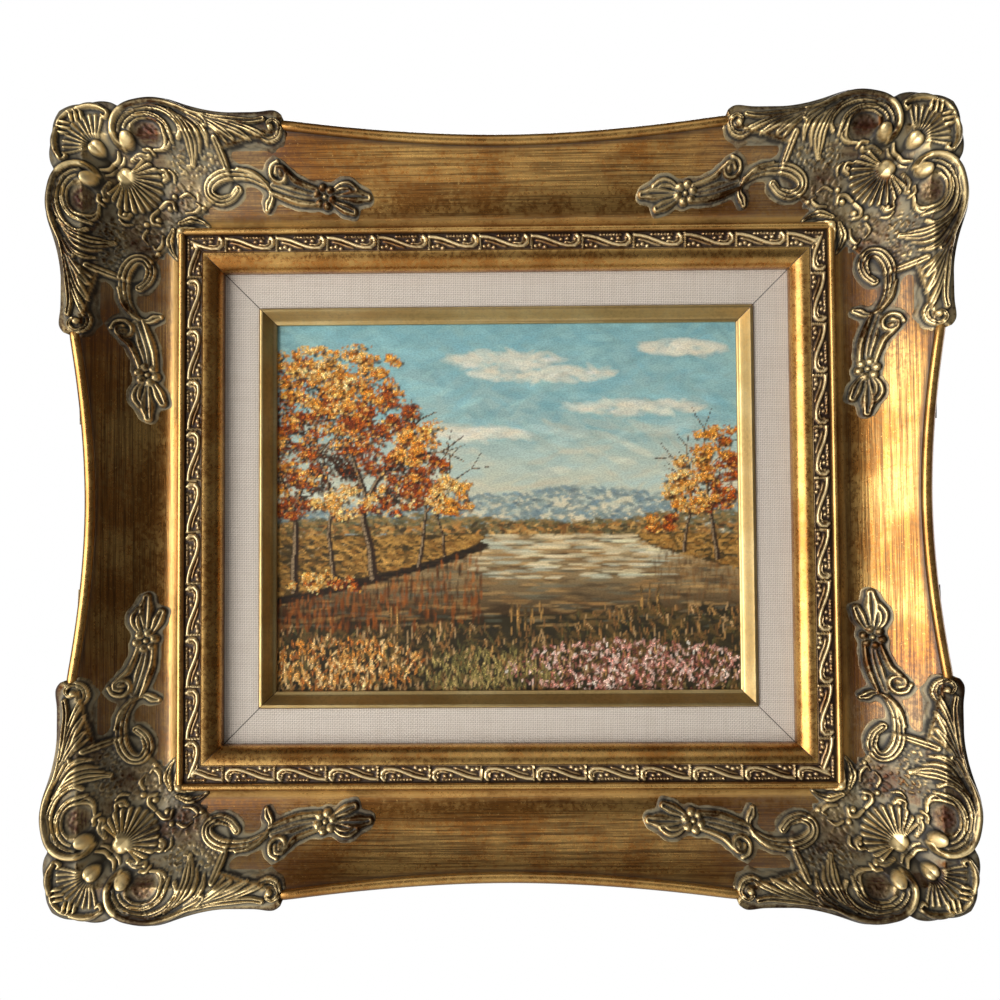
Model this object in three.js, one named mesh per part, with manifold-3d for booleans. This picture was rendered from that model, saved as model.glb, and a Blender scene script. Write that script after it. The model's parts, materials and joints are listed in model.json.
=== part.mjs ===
// Framed oil painting: a swept and scooped gilt frame with cast corner ornaments, a linen
// liner with a gilt slip, and a canvas on its stretcher, with a toothed hanger behind.
// Millimetres. The picture is built in its own plane, x to the right, y up and z off the
// wall, then stood upright so that +Z is up and the front faces -Y.
// The origin is the middle of the hanger's back face, in the plane of the wall.
import * as THREE from "three";
import { mergeVertices } from "three/addons/utils/BufferGeometryUtils.js";
import Module from "manifold-3d";

const wasm = await Module();
wasm.setup();

// Clearances
const fitGap = 0.3; // between pieces that touch or slide together
const mitreGap = 0.22; // taken off each end of a mitred length

// Canvas and stretcher
const canvasWidth = 254;
const canvasHeight = 203.2;
const canvasThickness = 0.7;
const canvasTurnover = 14; // width of cloth folded behind the stretcher
const stretcherWidth = 30;
const stretcherDepth = 14;
const stretcherLand = 4; // outer strip of the bar that carries the cloth
const stretcherBevel = 2; // fall of the bar's face towards its inner edge

// Gilt slip round the painting
const slipCover = 3; // how far the slip laps over the canvas
const slipWidth = 8;
const slipHeight = 7.8;
const slipSightEdge = 1.6;
const slipTopFlat = 1.6;

// Linen liner
const linerShow = 18.8; // linen that shows between the slip and the frame
const linerThickness = 9;
const slipProud = 1.4; // how far the slip stands above the linen

// Frame moulding, measured outwards from its sight edge and off the wall
const rabbetWidth = 4.1;
const lipThickness = 2.6;
const lipWidth = 9;
const lipRise = 7.9;
const bandWidth = 9.5;
const bandSink = 0.8; // the running ornament's ground lies this far below the lip
const beadWidth = 4.1;
const beadRise = 3.1;
const scoopLow = 28; // where the scoop is deepest
const scoopFloor = 31.8;
const scoopInnerRise = 2.7;
const scoopTopAt = 66.5; // beyond this the scoop runs out level
const scoopTop = 54.9;
const scoopPower = 1.7;
const rimWidth = 6;
const rimRise = 1.9;
const railWidth = 74; // at the corner ornaments
const sweepDip = 7.5; // how much narrower the rail is in its middle
const sweepPower = 1.9;
const sweepEnd = 30.5; // the sweep stops this far before the sight corner
const sideHollow = 1.2;
const sideBatter = 7.5; // how far the back edge lies inside the rim

// Corner ornament
const ornamentOverhang = 10.2; // how far the ornament reaches past the rail
const cornerWidth = railWidth + ornamentOverhang; // sight corner to outer corner
const ornamentUnit = cornerWidth / 84; // the ornament is drawn on a square of 84 units
const groundLift = 1.3; // cast ground above the scoop
const crestLift = 2.1; // how much higher the ground stands where it passes over the rim
const strandRoot = 4; // how far a strand's sides run down under its ground
const castingFoot = 27; // the ornament's skirt stops this far off the wall
const skirtBatter = 4; // how far the skirt's foot lies inside its outline

// Running ornament
const repeatLength = 27;
const leafLength = 24;
const leafWidth = 2.4;
const leafRise = 1.3;

// Hanger and its recess
const hangerLength = 42;
const hangerHeight = 9;
const hangerSheet = 0.8;
const hangerTab = 8;
const hangerRecess = 3.2; // depth of the pocket behind the rail
const toothPitch = 3;
const toothDepth = 2;
const nailShank = 1.2;
const nailHead = 3.4;
const nailHeadHeight = 0.7;
const nailLength = 13;

// Levels off the wall, worked out from the stack
const stretcherBack = 3.5;
const canvasFront = stretcherBack + stretcherDepth + fitGap + canvasThickness;
const slipBack = canvasFront + fitGap;
const linenFace = slipBack + slipHeight - slipProud;
const linerBack = linenFace - linerThickness;
const rabbetDepth = linenFace + fitGap;
const sightTop = rabbetDepth + lipThickness;
const lipTop = sightTop + lipRise;
const bandLevel = lipTop - bandSink;
const scoopStart = lipWidth + bandWidth + beadWidth;

// Half sizes of the openings
const paintingX = canvasWidth / 2 - slipCover;
const paintingY = canvasHeight / 2 - slipCover;
const sightX = paintingX + slipWidth + linerShow;
const sightY = paintingY + slipWidth + linerShow;
const hangerY = sightY + (rabbetWidth + railWidth - sweepDip - sideBatter) / 2;

const gilt = new THREE.MeshStandardMaterial({ color: 0x9a6b24, roughness: 0.38, metalness: 0.85 });
const castGilt = new THREE.MeshStandardMaterial({ color: 0x6e5a36, roughness: 0.45, metalness: 0.7 });
const paleGilt = new THREE.MeshStandardMaterial({ color: 0xb59755, roughness: 0.3, metalness: 0.85 });
const linen = new THREE.MeshStandardMaterial({ color: 0xc9bfb4, roughness: 0.95, metalness: 0 });
const paint = new THREE.MeshStandardMaterial({ color: 0x7f8a6e, roughness: 0.6, metalness: 0 });
const pine = new THREE.MeshStandardMaterial({ color: 0xc8a878, roughness: 0.8, metalness: 0 });
const steel = new THREE.MeshStandardMaterial({ color: 0x9a9a9c, roughness: 0.4, metalness: 0.9 });

const longSegments = 6; // flat lengths that make up the sweep of a long rail's edge
const shortSegments = 5;
const degrees = Math.PI / 180;
const lerp = THREE.MathUtils.lerp;
const smooth = (t) => THREE.MathUtils.smoothstep(t, 0, 1);
const bump = (t) => Math.exp(-t * t);

// Solids and booleans
function solidOf(geometry) {
  const bare = new THREE.BufferGeometry();
  bare.setAttribute("position", geometry.getAttribute("position"));
  if (geometry.index) bare.setIndex(geometry.index);
  const merged = mergeVertices(bare, 1e-4);
  const vertProperties = new Float32Array(merged.attributes.position.array);
  const triVerts = new Uint32Array(merged.index.array);
  return new wasm.Manifold(new wasm.Mesh({ numProp: 3, vertProperties, triVerts }));
}

function geometryOf(solid) {
  const mesh = solid.getMesh();
  const geometry = new THREE.BufferGeometry();
  geometry.setAttribute("position", new THREE.BufferAttribute(mesh.vertProperties, 3));
  geometry.setIndex(new THREE.BufferAttribute(mesh.triVerts, 1));
  const flat = geometry.toNonIndexed();
  flat.computeVertexNormals();
  return flat;
}

const unite = (solids) => solids.reduce((whole, next) => whole.add(next));

// A closed body through rings of the same number of points. The end caps are triangulated
// on the flat outline given for them.
function loft(rings, outline) {
  const count = outline.length;
  const positions = rings.flat(2);
  const index = [];
  for (let r = 0; r + 1 < rings.length; r++) {
    for (let i = 0; i < count; i++) {
      const j = (i + 1) % count;
      const a = r * count + i;
      const b = r * count + j;
      index.push(a, b, b + count, a, b + count, a + count);
    }
  }
  const flat = outline.map(([u, v]) => new THREE.Vector2(u, v));
  const last = (rings.length - 1) * count;
  const clockwise = THREE.ShapeUtils.isClockWise(flat);
  for (const triangle of THREE.ShapeUtils.triangulateShape(flat, [])) {
    const [a, b, c] = clockwise ? triangle.reverse() : triangle;
    index.push(c, b, a, last + a, last + b, last + c);
  }
  let volume = 0;
  const corner = (k) => new THREE.Vector3().fromArray(positions, 3 * k);
  for (let k = 0; k < index.length; k += 3) {
    volume += corner(index[k]).dot(corner(index[k + 1]).cross(corner(index[k + 2])));
  }
  if (volume < 0) index.reverse();
  const geometry = new THREE.BufferGeometry();
  geometry.setAttribute("position", new THREE.Float32BufferAttribute(positions, 3));
  geometry.setIndex(index);
  return geometry;
}

// A mitred length of a profile given as [outward, off the wall] points
function mitred(profile, halfLength) {
  const end = (sign) => profile.map(([n, d]) => [sign * (halfLength + n - mitreGap), n, d]);
  return loft([end(-1), end(1)], profile);
}

function box(x0, x1, y0, y1, z0, z1) {
  const geometry = new THREE.BoxGeometry(x1 - x0, y1 - y0, z1 - z0);
  return geometry.translate((x0 + x1) / 2, (y0 + y1) / 2, (z0 + z1) / 2);
}

function prism(points, z0, z1) {
  const shape = new THREE.Shape(points.map(([x, y]) => new THREE.Vector2(x, y)));
  return new THREE.ExtrudeGeometry(shape, { depth: z1 - z0, bevelEnabled: false }).translate(0, 0, z0);
}

// Frame moulding
function scoopHeight(n) {
  if (n < scoopLow) {
    return scoopFloor + scoopInnerRise * ((scoopLow - n) / (scoopLow - scoopStart)) ** scoopPower;
  }
  const climb = Math.min(1, (n - scoopLow) / (scoopTopAt - scoopLow));
  return scoopFloor + (scoopTop - scoopFloor) * climb ** scoopPower;
}

function scoopPoints(end, count) {
  const points = [
    [scoopStart, scoopHeight(scoopStart)],
    [scoopLow, scoopFloor],
  ];
  for (let i = 1; i <= count; i++) {
    const n = lerp(scoopLow, end, i / count);
    points.push([n, scoopHeight(n)]);
  }
  return points;
}

// The rail's section where its outer edge lies at the given width, or the same section
// grown by a clearance over its face and outer side
function railProfile(width, grown = 0) {
  const rimStart = width - rimWidth;
  const rimLevel = scoopHeight(rimStart);
  const face = [[0, rabbetDepth]];
  for (const turn of [0, 40, 90]) {
    const t = turn * degrees;
    face.push([lipWidth * (1 - Math.cos(t)), sightTop + lipRise * Math.sin(t)]);
  }
  const bandEnd = lipWidth + bandWidth;
  face.push([lipWidth + bandSink / 2, bandLevel], [bandEnd, bandLevel]);
  for (const share of [0.2, 0.8]) {
    face.push([bandEnd + beadWidth * share, bandLevel + beadRise]);
  }
  face.push(...scoopPoints(rimStart, 4));
  face.push([rimStart + rimWidth * 0.25, rimLevel + rimRise * 0.8]);
  face.push([rimStart + rimWidth * 0.6, rimLevel + rimRise]);
  const side = [
    [width, rimLevel - rimRise],
    [width - sideHollow, rimLevel - rimWidth - rimRise],
    [width - sideBatter, sightTop / 2],
    [width - sideBatter, 0],
  ];
  return [
    [rabbetWidth, 0],
    [rabbetWidth, rabbetDepth],
    ...face.map(([n, d]) => [n, d + grown]),
    ...side.map(([n, d]) => [n + grown, d]),
  ];
}

// The outer edge sweeps in towards the middle of the rail
function railEdge(x, halfLength) {
  const reach = Math.min(1, Math.abs(x) / (halfLength - sweepEnd));
  return railWidth - sweepDip * (1 - reach ** sweepPower);
}

function rail(halfLength, segments, grown = 0) {
  const gap = mitreGap - 2 * grown;
  const endProfile = railProfile(railWidth, grown);
  const end = (sign) => endProfile.map(([n, d]) => [sign * (halfLength + n - gap), n, d]);
  const swept = halfLength - sweepEnd;
  const rings = [end(-1)];
  for (let i = 0; i <= segments; i++) {
    const x = lerp(-swept, swept, i / segments);
    rings.push(railProfile(railEdge(x, halfLength), grown).map(([n, d]) => [x, n, d]));
  }
  rings.push(end(1));
  return loft(rings, endProfile);
}

// The running ornament: one raised leaf a repeat, lying aslant across the band
function runningOrnament(halfLength) {
  const count = Math.floor((2 * (halfLength + lipWidth)) / repeatLength);
  const middle = lipWidth + bandWidth / 2 + bandSink / 2;
  const slant = Math.atan2(bandWidth - 3 * bandSink, leafLength);
  const leaves = [];
  for (let i = 0; i < count; i++) {
    const leaf = new THREE.ConeGeometry(1, leafRise + bandSink / 2, 4).rotateX(Math.PI / 2);
    leaf.scale(leafLength / 2, leafWidth, 1).rotateZ(-slant);
    leaf.translate((i + 0.5 - count / 2) * repeatLength, middle, bandLevel + leafRise / 2 - bandSink / 4);
    leaves.push(solidOf(leaf));
  }
  return unite(leaves);
}

const taper = (start, middle, end) => (t) =>
  t < 0.5 ? lerp(start, middle, 2 * t) : lerp(middle, end, 2 * t - 1);

// A raised strand along a plan path. Half width and rise are functions along the path, and
// the section is a gable on two sides that run down under the ground.
function ridge({ path, width, rise }, ground) {
  const last = path.length - 1;
  const rings = path.map(([x, y], i) => {
    const [x0, y0] = path[Math.max(0, i - 1)];
    const [x1, y1] = path[Math.min(last, i + 1)];
    const length = Math.hypot(x1 - x0, y1 - y0);
    const across = [-(y1 - y0) / length, (x1 - x0) / length];
    const w = width(i / last);
    const base = ground(x, y);
    const section = [
      [w, base - strandRoot],
      [w, base],
      [0, base + rise(i / last)],
      [-w, base],
      [-w, base - strandRoot],
    ];
    return section.map(([side, level]) => [x + across[0] * side, y + across[1] * side, level]);
  });
  return loft(rings, [
    [1, 0],
    [1, 1],
    [0, 2],
    [-1, 1],
    [-1, 0],
  ]);
}

// Corner ornament, in ornament units from the sight corner outwards: a along x, b along y
const unit = (points) => points.map(([a, b]) => [a * ornamentUnit, b * ornamentUnit]);
const mirror = (points) => points.map(([a, b]) => [b, a]);

// Height of the cast ground over the rail, at a distance outwards from the sight edge
function castLevel(n) {
  const rimAt = railWidth - rimWidth;
  return scoopHeight(n) + groundLift + crestLift * smooth((n - rimAt + rimWidth) / rimWidth);
}

const castGround = (x, y) => castLevel(Math.max(x, y, scoopStart));

function arcPath([ca, cb], r0, r1, deg0, deg1, steps) {
  const path = [];
  for (let i = 0; i <= steps; i++) {
    const t = i / steps;
    const r = lerp(r0, r1, t);
    const turn = lerp(deg0, deg1, t) * degrees;
    path.push([ca + r * Math.cos(turn), cb + r * Math.sin(turn)]);
  }
  return path;
}

// A curve from one point to another that bows sideways by a share of its length
function bowPath([a0, b0], [a1, b1], bow, steps) {
  const path = [];
  for (let i = 0; i <= steps; i++) {
    const t = i / steps;
    const side = 4 * bow * t * (1 - t);
    path.push([lerp(a0, a1, t) - (b1 - b0) * side, lerp(b0, b1, t) + (a1 - a0) * side]);
  }
  return path;
}

// The outer edge of the ornament beside a rail, as a distance outwards
function ornamentEdge(s) {
  const shoulder = 77.3 + 5 * smooth((s + 10) / 36);
  const swells = 3.2 * bump((s - 29) / 13) + 1.6 * bump((s - 57) / 7) + 0.9 * bump((s + 31) / 5);
  return shoulder + swells - 1.6 * bump((s - 47.5) / 3);
}

function ornamentPlan(batter) {
  const cornerRound = 9;
  const roundCentre = ornamentEdge(75) - cornerRound;
  const outer = [];
  for (const s of [-38, -31, -22, -8, 5, 18, 30, 40, 48, 57, 67]) outer.push([s, ornamentEdge(s) - batter]);
  const round = arcPath([roundCentre, roundCentre], cornerRound - batter, cornerRound - batter, 75, 60, 1);
  const inner = [
    [22.9, 22.9],
    [9, 24],
    [7, 31],
    [-8, 36],
    [-9, 57],
    [-22, 61],
    [-38.5, 62],
  ];
  const half = [...inner, ...outer, ...round];
  return unit([...half, ...mirror(half).reverse().slice(0, -1)]);
}

// The ornament's body from its foot up, with its outer side leaning in towards the foot
function ornamentBlock(top) {
  const ring = (batter, level) => ornamentPlan(batter).map(([x, y]) => [x, y, level]);
  return solidOf(loft([ring(skirtBatter, castingFoot), ring(0, top)], ornamentPlan(0)));
}

// Everything under the cast ground of two rails meeting at the corner, as one L-shaped body
function cornerMoulding() {
  const outer = cornerWidth * 1.1;
  const levels = [scoopStart, scoopLow, 46, 60, railWidth - rimWidth, outer];
  const profile = [[0, 0], [0, castLevel(scoopStart)], ...levels.map((n) => [n, castLevel(n)]), [outer, 0]];
  const reach = -cornerWidth * 1.2;
  const along = profile.map(([n, d]) => [reach, n, d]);
  const turn = profile.map(([n, d]) => [n, n, d]);
  const down = profile.map(([n, d]) => [n, reach, d]);
  return solidOf(loft([along, turn, down], profile));
}

// The room that the two rails take up at the corner, clearance included
function cornerRails() {
  const long = rail(sightX, longSegments, fitGap).translate(-sightX, 0, 0);
  const short = rail(sightY, shortSegments, fitGap).rotateZ(-Math.PI / 2).translate(0, -sightY, 0);
  return solidOf(long).add(solidOf(short));
}

const volute = [-31.7, 69];
const shellBoss = 47.4;
const cornerBoss = 60.4;
const flower = [-56, 39];

// Strands of one half of the corner: path, half widths and rises at start, middle and end
function halfStrands() {
  const strand = (path, width, rise) => ({ path, width: taper(...width), rise: taper(...rise) });
  const band = [[47.6, 63.4], [49.6, 70], [43, 79.4], [29, 82.4], [12, 78.4], [-27, 72]];
  const inner = [[45.5, 71], [35, 78], [22, 75.4]];
  const spiral = [...arcPath([-32.6, 49.2], 2, 5, 200, 0, 3), [-27, 41.6]];
  return [
    strand(band, [1.6, 3, 1.7], [2.8, 4, 2.2]),
    strand(inner, [1, 1.8, 1.1], [1.8, 2.8, 2.4]),
    strand(arcPath(volute, 5, 4, -60, -280, 3), [1.5, 1.7, 1.3], [2.6, 3.2, 3.4]),
    strand([[12.8, 66], [13.2, 59], [13.6, 51]], [1.4, 2.9, 0.6], [2.4, 3.2, 1.2]),
    strand([[4.4, 66.5], [-12, 58.6]], [2.1, 1.9, 1], [2.2, 2.4, 1.2]),
    strand(arcPath([0.3, 39.6], 7.4, 5.6, -100, 40, 2), [1.4, 1.7, 1.3], [1.8, 2.4, 1.8]),
    strand([[-3, 43], [-24, 41], [-51.8, 37]], [1.7, 1.9, 1.3], [2.2, 2.5, 1.8]),
    strand(spiral, [1.5, 1.8, 1.5], [3.4, 3, 2.4]),
    strand([[-60, 38.8], [-68, 38.6], [-79, 38.4]], [1.3, 2.6, 0.5], [2, 3, 0.8]),
  ];
}

const strandSolid = (strand) => {
  const width = (t) => strand.width(t) * ornamentUnit;
  return solidOf(ridge({ path: unit(strand.path), width, rise: strand.rise }, castGround));
};

// A rounded boss on the ground
function boss([a, b], radius, rise) {
  const [x, y] = [a * ornamentUnit, b * ornamentUnit];
  const r = radius * ornamentUnit;
  const outline = [
    [0, -strandRoot - r],
    [r, -strandRoot - r],
    [r, 0],
    [0.7 * r, 0.7 * rise],
    [0, rise],
  ];
  const dome = new THREE.LatheGeometry(outline.map(([u, v]) => new THREE.Vector2(u, v)), 6);
  return solidOf(dome.rotateX(Math.PI / 2).translate(x, y, castGround(x, y)));
}

// Flutes of a shell about its boss, at even turns either side of the diagonal
function shell(centre, towards, spread, count, [r0, r1], width, rise) {
  const flutes = [];
  for (let i = 0; i < count; i++) {
    const turn = towards + spread * ((2 * i) / (count - 1) - 1);
    const path = arcPath([centre, centre], r0, r1, turn, turn, 1);
    flutes.push(strandSolid({ path, width: taper(...width), rise: taper(...rise) }));
  }
  return unite(flutes);
}

function cornerOrnament() {
  const crest = castLevel(cornerWidth);
  const pieces = [ornamentBlock(crest + fitGap).intersect(cornerMoulding())];
  for (const half of [(points) => points, mirror]) {
    for (const strand of halfStrands()) pieces.push(strandSolid({ ...strand, path: half(strand.path) }));
    const at = (point) => half([point])[0];
    pieces.push(boss(at([41, 64.6]), 3.8, 4.8), boss(at(flower), 4.7, 3));
  }
  pieces.push(boss([cornerBoss, cornerBoss], 3.9, 5), boss([shellBoss, shellBoss], 4.6, 5.4));
  pieces.push(shell(cornerBoss, 45, 54, 4, [5.6, 14.5], [1.1, 1.8, 2.2], [3.4, 2.8, 2.2]));
  pieces.push(shell(shellBoss, 225, 96, 7, [6, 16.5], [1.1, 2, 2.9], [3.8, 3.2, 2]));
  pieces.push(boss([24.5, 24.5], 3, 4));
  return unite(pieces).subtract(cornerRails());
}

// The same piece seen in a mirror across its vertical middle
function mirrored(geometry) {
  const turned = geometry.clone();
  const position = turned.getAttribute("position");
  for (let k = 0; k < position.count; k += 3) {
    const corners = [0, 1, 2].map((c) => new THREE.Vector3().fromBufferAttribute(position, k + c));
    corners.reverse().forEach((v, c) => position.setXYZ(k + c, -v.x, v.y, v.z));
  }
  turned.computeVertexNormals();
  return turned;
}

// Liner, slip, canvas and stretcher, measured outwards from the painting's sight edge
function linerProfile() {
  const outer = slipWidth + linerShow + rabbetWidth - fitGap;
  const inner = slipWidth + fitGap;
  const edgeRound = 0.8; // the linen turns over a softened edge
  return [
    [inner, linerBack],
    [outer, linerBack],
    [outer, linenFace],
    [inner + edgeRound, linenFace],
    [inner, linenFace - edgeRound],
  ];
}

function slipProfile() {
  const top = slipBack + slipHeight;
  return [
    [0, slipBack],
    [slipWidth, slipBack],
    [slipWidth, top],
    [slipWidth - slipTopFlat, top],
    [slipSightEdge, slipBack + slipSightEdge * 1.4],
    [0, slipBack + slipSightEdge],
  ];
}

function stretcherProfile() {
  const outer = -canvasThickness - fitGap;
  const front = stretcherBack + stretcherDepth;
  return [
    [outer, stretcherBack],
    [outer, front],
    [outer - stretcherLand, front],
    [outer - stretcherWidth, front - stretcherBevel],
    [outer - stretcherWidth, stretcherBack],
  ];
}

function canvas() {
  const [x, y, t] = [canvasWidth / 2, canvasHeight / 2, canvasThickness];
  const back = stretcherBack - fitGap;
  const outside = solidOf(box(-x, x, -y, y, back - t, canvasFront));
  const inside = solidOf(box(-x + t, x - t, -y + t, y - t, back, canvasFront - t));
  const [wx, wy] = [x - canvasTurnover, y - canvasTurnover];
  const window = solidOf(box(-wx, wx, -wy, wy, back - 2 * t, back + t));
  return outside.subtract(inside).subtract(window);
}

// Hanger: a toothed strip with a stepped tab at each end, in a pocket behind the top rail
function hanger() {
  const half = hangerLength / 2;
  const high = hangerHeight / 2;
  const tabLevel = hangerRecess - fitGap - hangerSheet;
  const raised = half - hangerTab;
  const strip = [[raised, high], [-raised, high], [-raised, -high]];
  const teeth = Math.round((2 * raised - 2) / toothPitch);
  for (let i = 0; i < teeth; i++) {
    const x = (i - teeth / 2) * toothPitch;
    strip.push([x, -high], [x + toothPitch / 2, -high + toothDepth]);
  }
  strip.push([(teeth / 2) * toothPitch, -high], [raised, -high]);
  const pieces = [solidOf(prism(strip, 0, hangerSheet))];
  for (const side of [-1, 1]) {
    const [x0, x1] = [side * raised, side * half].sort((p, q) => p - q);
    const tab = solidOf(box(x0, x1, -high, high, tabLevel, tabLevel + hangerSheet));
    const hole = new THREE.CylinderGeometry(nailShank, nailShank, 4 * hangerSheet, 8).rotateX(Math.PI / 2);
    hole.translate(side * (half - hangerTab / 2), 0, tabLevel);
    const [s0, s1] = [side * raised - hangerSheet / 2, side * raised + hangerSheet / 2];
    const step = box(s0, s1, -high, high, 0, tabLevel + hangerSheet);
    pieces.push(tab.subtract(solidOf(hole)), solidOf(step));
  }
  return unite(pieces);
}

function hangerNail() {
  const head = hangerRecess - 2 * fitGap - hangerSheet - nailHeadHeight;
  const outline = [
    [0, head],
    [nailHead / 2, head],
    [nailHead / 2, head + nailHeadHeight],
    [nailShank / 2, head + nailHeadHeight],
    [nailShank / 2, nailLength - 1.5],
    [0, nailLength],
  ];
  const turned = new THREE.LatheGeometry(outline.map(([r, z]) => new THREE.Vector2(r, z)), 8);
  return turned.rotateX(Math.PI / 2);
}

function hangerPocket() {
  const half = hangerLength / 2 + fitGap;
  const high = hangerHeight / 2 + toothDepth;
  const pocket = solidOf(box(-half, half, -high, high, -1, hangerRecess));
  const bore = nailShank / 2 + fitGap;
  const holes = [-1, 1].map((side) => {
    const hole = new THREE.CylinderGeometry(bore, bore, 2 * nailLength, 8).rotateX(Math.PI / 2);
    return solidOf(hole.translate(side * (hangerLength / 2 - hangerTab / 2), 0, fitGap));
  });
  return unite([pocket, ...holes]).translate(0, hangerY - sightY, 0);
}

const picture = new THREE.Group();
picture.rotation.x = Math.PI / 2;
picture.position.z = -hangerY;

function place(name, geometry, material, x, y, turn) {
  const mesh = new THREE.Mesh(geometry, material);
  mesh.name = name;
  mesh.position.set(x, y, 0);
  mesh.rotation.z = turn;
  picture.add(mesh);
}

// The four sides of a mitred surround, with its opening's half sizes
function surround(name, lengths, material, openX, openY) {
  const [long, short] = lengths;
  place(name + "_top", long, material, 0, openY, 0);
  place(name + "_bottom", long.clone(), material, 0, -openY, Math.PI);
  place(name + "_left", short, material, -openX, 0, Math.PI / 2);
  place(name + "_right", short.clone(), material, openX, 0, -Math.PI / 2);
}

const longRail = solidOf(rail(sightX, longSegments)).add(runningOrnament(sightX));
const shortRail = solidOf(rail(sightY, shortSegments)).add(runningOrnament(sightY));
surround("rail", [geometryOf(longRail), geometryOf(shortRail)], gilt, sightX, sightY);
picture.getObjectByName("rail_top").geometry = geometryOf(longRail.subtract(hangerPocket()));

const ornament = geometryOf(cornerOrnament());
place("corner_top_right", ornament, castGilt, sightX, sightY, 0);
place("corner_top_left", mirrored(ornament), castGilt, -sightX, sightY, 0);
place("corner_bottom_left", ornament.clone(), castGilt, -sightX, -sightY, Math.PI);
place("corner_bottom_right", mirrored(ornament), castGilt, sightX, -sightY, Math.PI);

const linerLengths = [paintingX, paintingY].map((half) => mitred(linerProfile(), half));
surround("liner", linerLengths, linen, paintingX, paintingY);
const slipLengths = [paintingX, paintingY].map((half) => mitred(slipProfile(), half));
surround("slip", slipLengths, paleGilt, paintingX, paintingY);

place("canvas", geometryOf(canvas()), paint, 0, 0, 0);
const [barX, barY] = [canvasWidth / 2, canvasHeight / 2];
const barLengths = [barX, barY].map((half) => mitred(stretcherProfile(), half));
surround("stretcher", barLengths, pine, barX, barY);

place("hanger", geometryOf(hanger()), steel, 0, hangerY, 0);
const nailOut = hangerLength / 2 - hangerTab / 2;
place("hanger_nail_left", hangerNail(), steel, -nailOut, hangerY, 0);
place("hanger_nail_right", hangerNail(), steel, nailOut, hangerY, 0);

export default picture;
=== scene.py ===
# %% [markdown]
# # A small oil painting in a swept gilt frame
#
# The picture hangs on a wall by a toothed hanger behind its top rail. From the outside
# inwards it has four scooped gilt rails with cast ornaments over their corners, a liner
# covered in linen, a narrow gilt slip and the painted canvas on its stretcher.
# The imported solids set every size. This lesson dresses them: it works out finer surfaces
# in the same places and gives each one its finish.

import json
import math

import bmesh
import bpy
import numpy as np
from mathutils import Matrix, Vector

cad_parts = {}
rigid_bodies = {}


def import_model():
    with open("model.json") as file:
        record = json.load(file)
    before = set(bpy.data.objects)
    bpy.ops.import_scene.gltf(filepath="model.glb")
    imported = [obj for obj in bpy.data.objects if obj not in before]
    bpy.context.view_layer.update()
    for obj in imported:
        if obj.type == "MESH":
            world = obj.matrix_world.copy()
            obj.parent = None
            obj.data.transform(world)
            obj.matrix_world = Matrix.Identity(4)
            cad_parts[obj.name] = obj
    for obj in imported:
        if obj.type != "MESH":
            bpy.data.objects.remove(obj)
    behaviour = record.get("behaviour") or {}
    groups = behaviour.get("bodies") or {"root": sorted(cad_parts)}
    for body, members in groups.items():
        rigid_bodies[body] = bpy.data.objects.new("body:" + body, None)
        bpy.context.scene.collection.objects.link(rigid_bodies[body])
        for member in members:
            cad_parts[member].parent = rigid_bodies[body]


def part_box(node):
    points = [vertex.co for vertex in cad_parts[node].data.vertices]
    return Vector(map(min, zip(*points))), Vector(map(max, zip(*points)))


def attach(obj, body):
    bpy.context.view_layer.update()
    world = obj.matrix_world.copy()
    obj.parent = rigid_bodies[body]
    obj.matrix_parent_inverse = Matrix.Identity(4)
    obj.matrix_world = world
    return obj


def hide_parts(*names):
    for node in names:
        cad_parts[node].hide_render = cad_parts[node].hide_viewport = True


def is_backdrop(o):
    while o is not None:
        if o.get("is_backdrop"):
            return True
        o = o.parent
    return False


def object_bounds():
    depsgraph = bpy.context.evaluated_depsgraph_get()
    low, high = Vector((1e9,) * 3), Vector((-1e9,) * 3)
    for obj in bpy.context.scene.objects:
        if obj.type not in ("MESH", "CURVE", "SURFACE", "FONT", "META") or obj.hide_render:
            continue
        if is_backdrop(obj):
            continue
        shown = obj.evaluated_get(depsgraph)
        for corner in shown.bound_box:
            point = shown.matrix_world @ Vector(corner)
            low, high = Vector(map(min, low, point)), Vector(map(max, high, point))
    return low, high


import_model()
solid_box = [[float(v) for v in corner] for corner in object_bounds()]
print("solids span, in metres:", solid_box)

# %% [markdown]
# ## Where things are
#
# It is easiest to think of a frame as a joiner does: x along the wall, up the wall, and d
# off the wall, all from the middle of the picture, in millimetres. One function turns
# those three into the scene's metres, where the front faces -Y.

# %% Picture coordinates
canvas_low, canvas_high = (np.array(c, float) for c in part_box("canvas"))
middle_up = 1000 * (canvas_low[2] + canvas_high[2]) / 2


def scene_points(x, up, d):
    """(x, up, d) in millimetres to (x, -d, up + middle) in metres, as an array of points."""
    x, up, d = np.broadcast_arrays(x, up, d)
    return np.stack([x, -d, up + middle_up], axis=-1) * 0.001


sight_x, sight_up = 150.8, 125.4  # half the frame's sight opening
paint_x, paint_up = 124.0, 98.6  # half the painting that shows
print("picture's middle is", round(middle_up, 2), "mm above the hanger")

# %% [markdown]
# ## Surfaces from arrays
#
# Each piece is a grid of points: one direction runs along the piece, the other round its
# section. Working on whole arrays keeps a fine surface quick to make. Values that a
# finish needs later, such as how deep in a hollow a point lies, are stored on the points.


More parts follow.
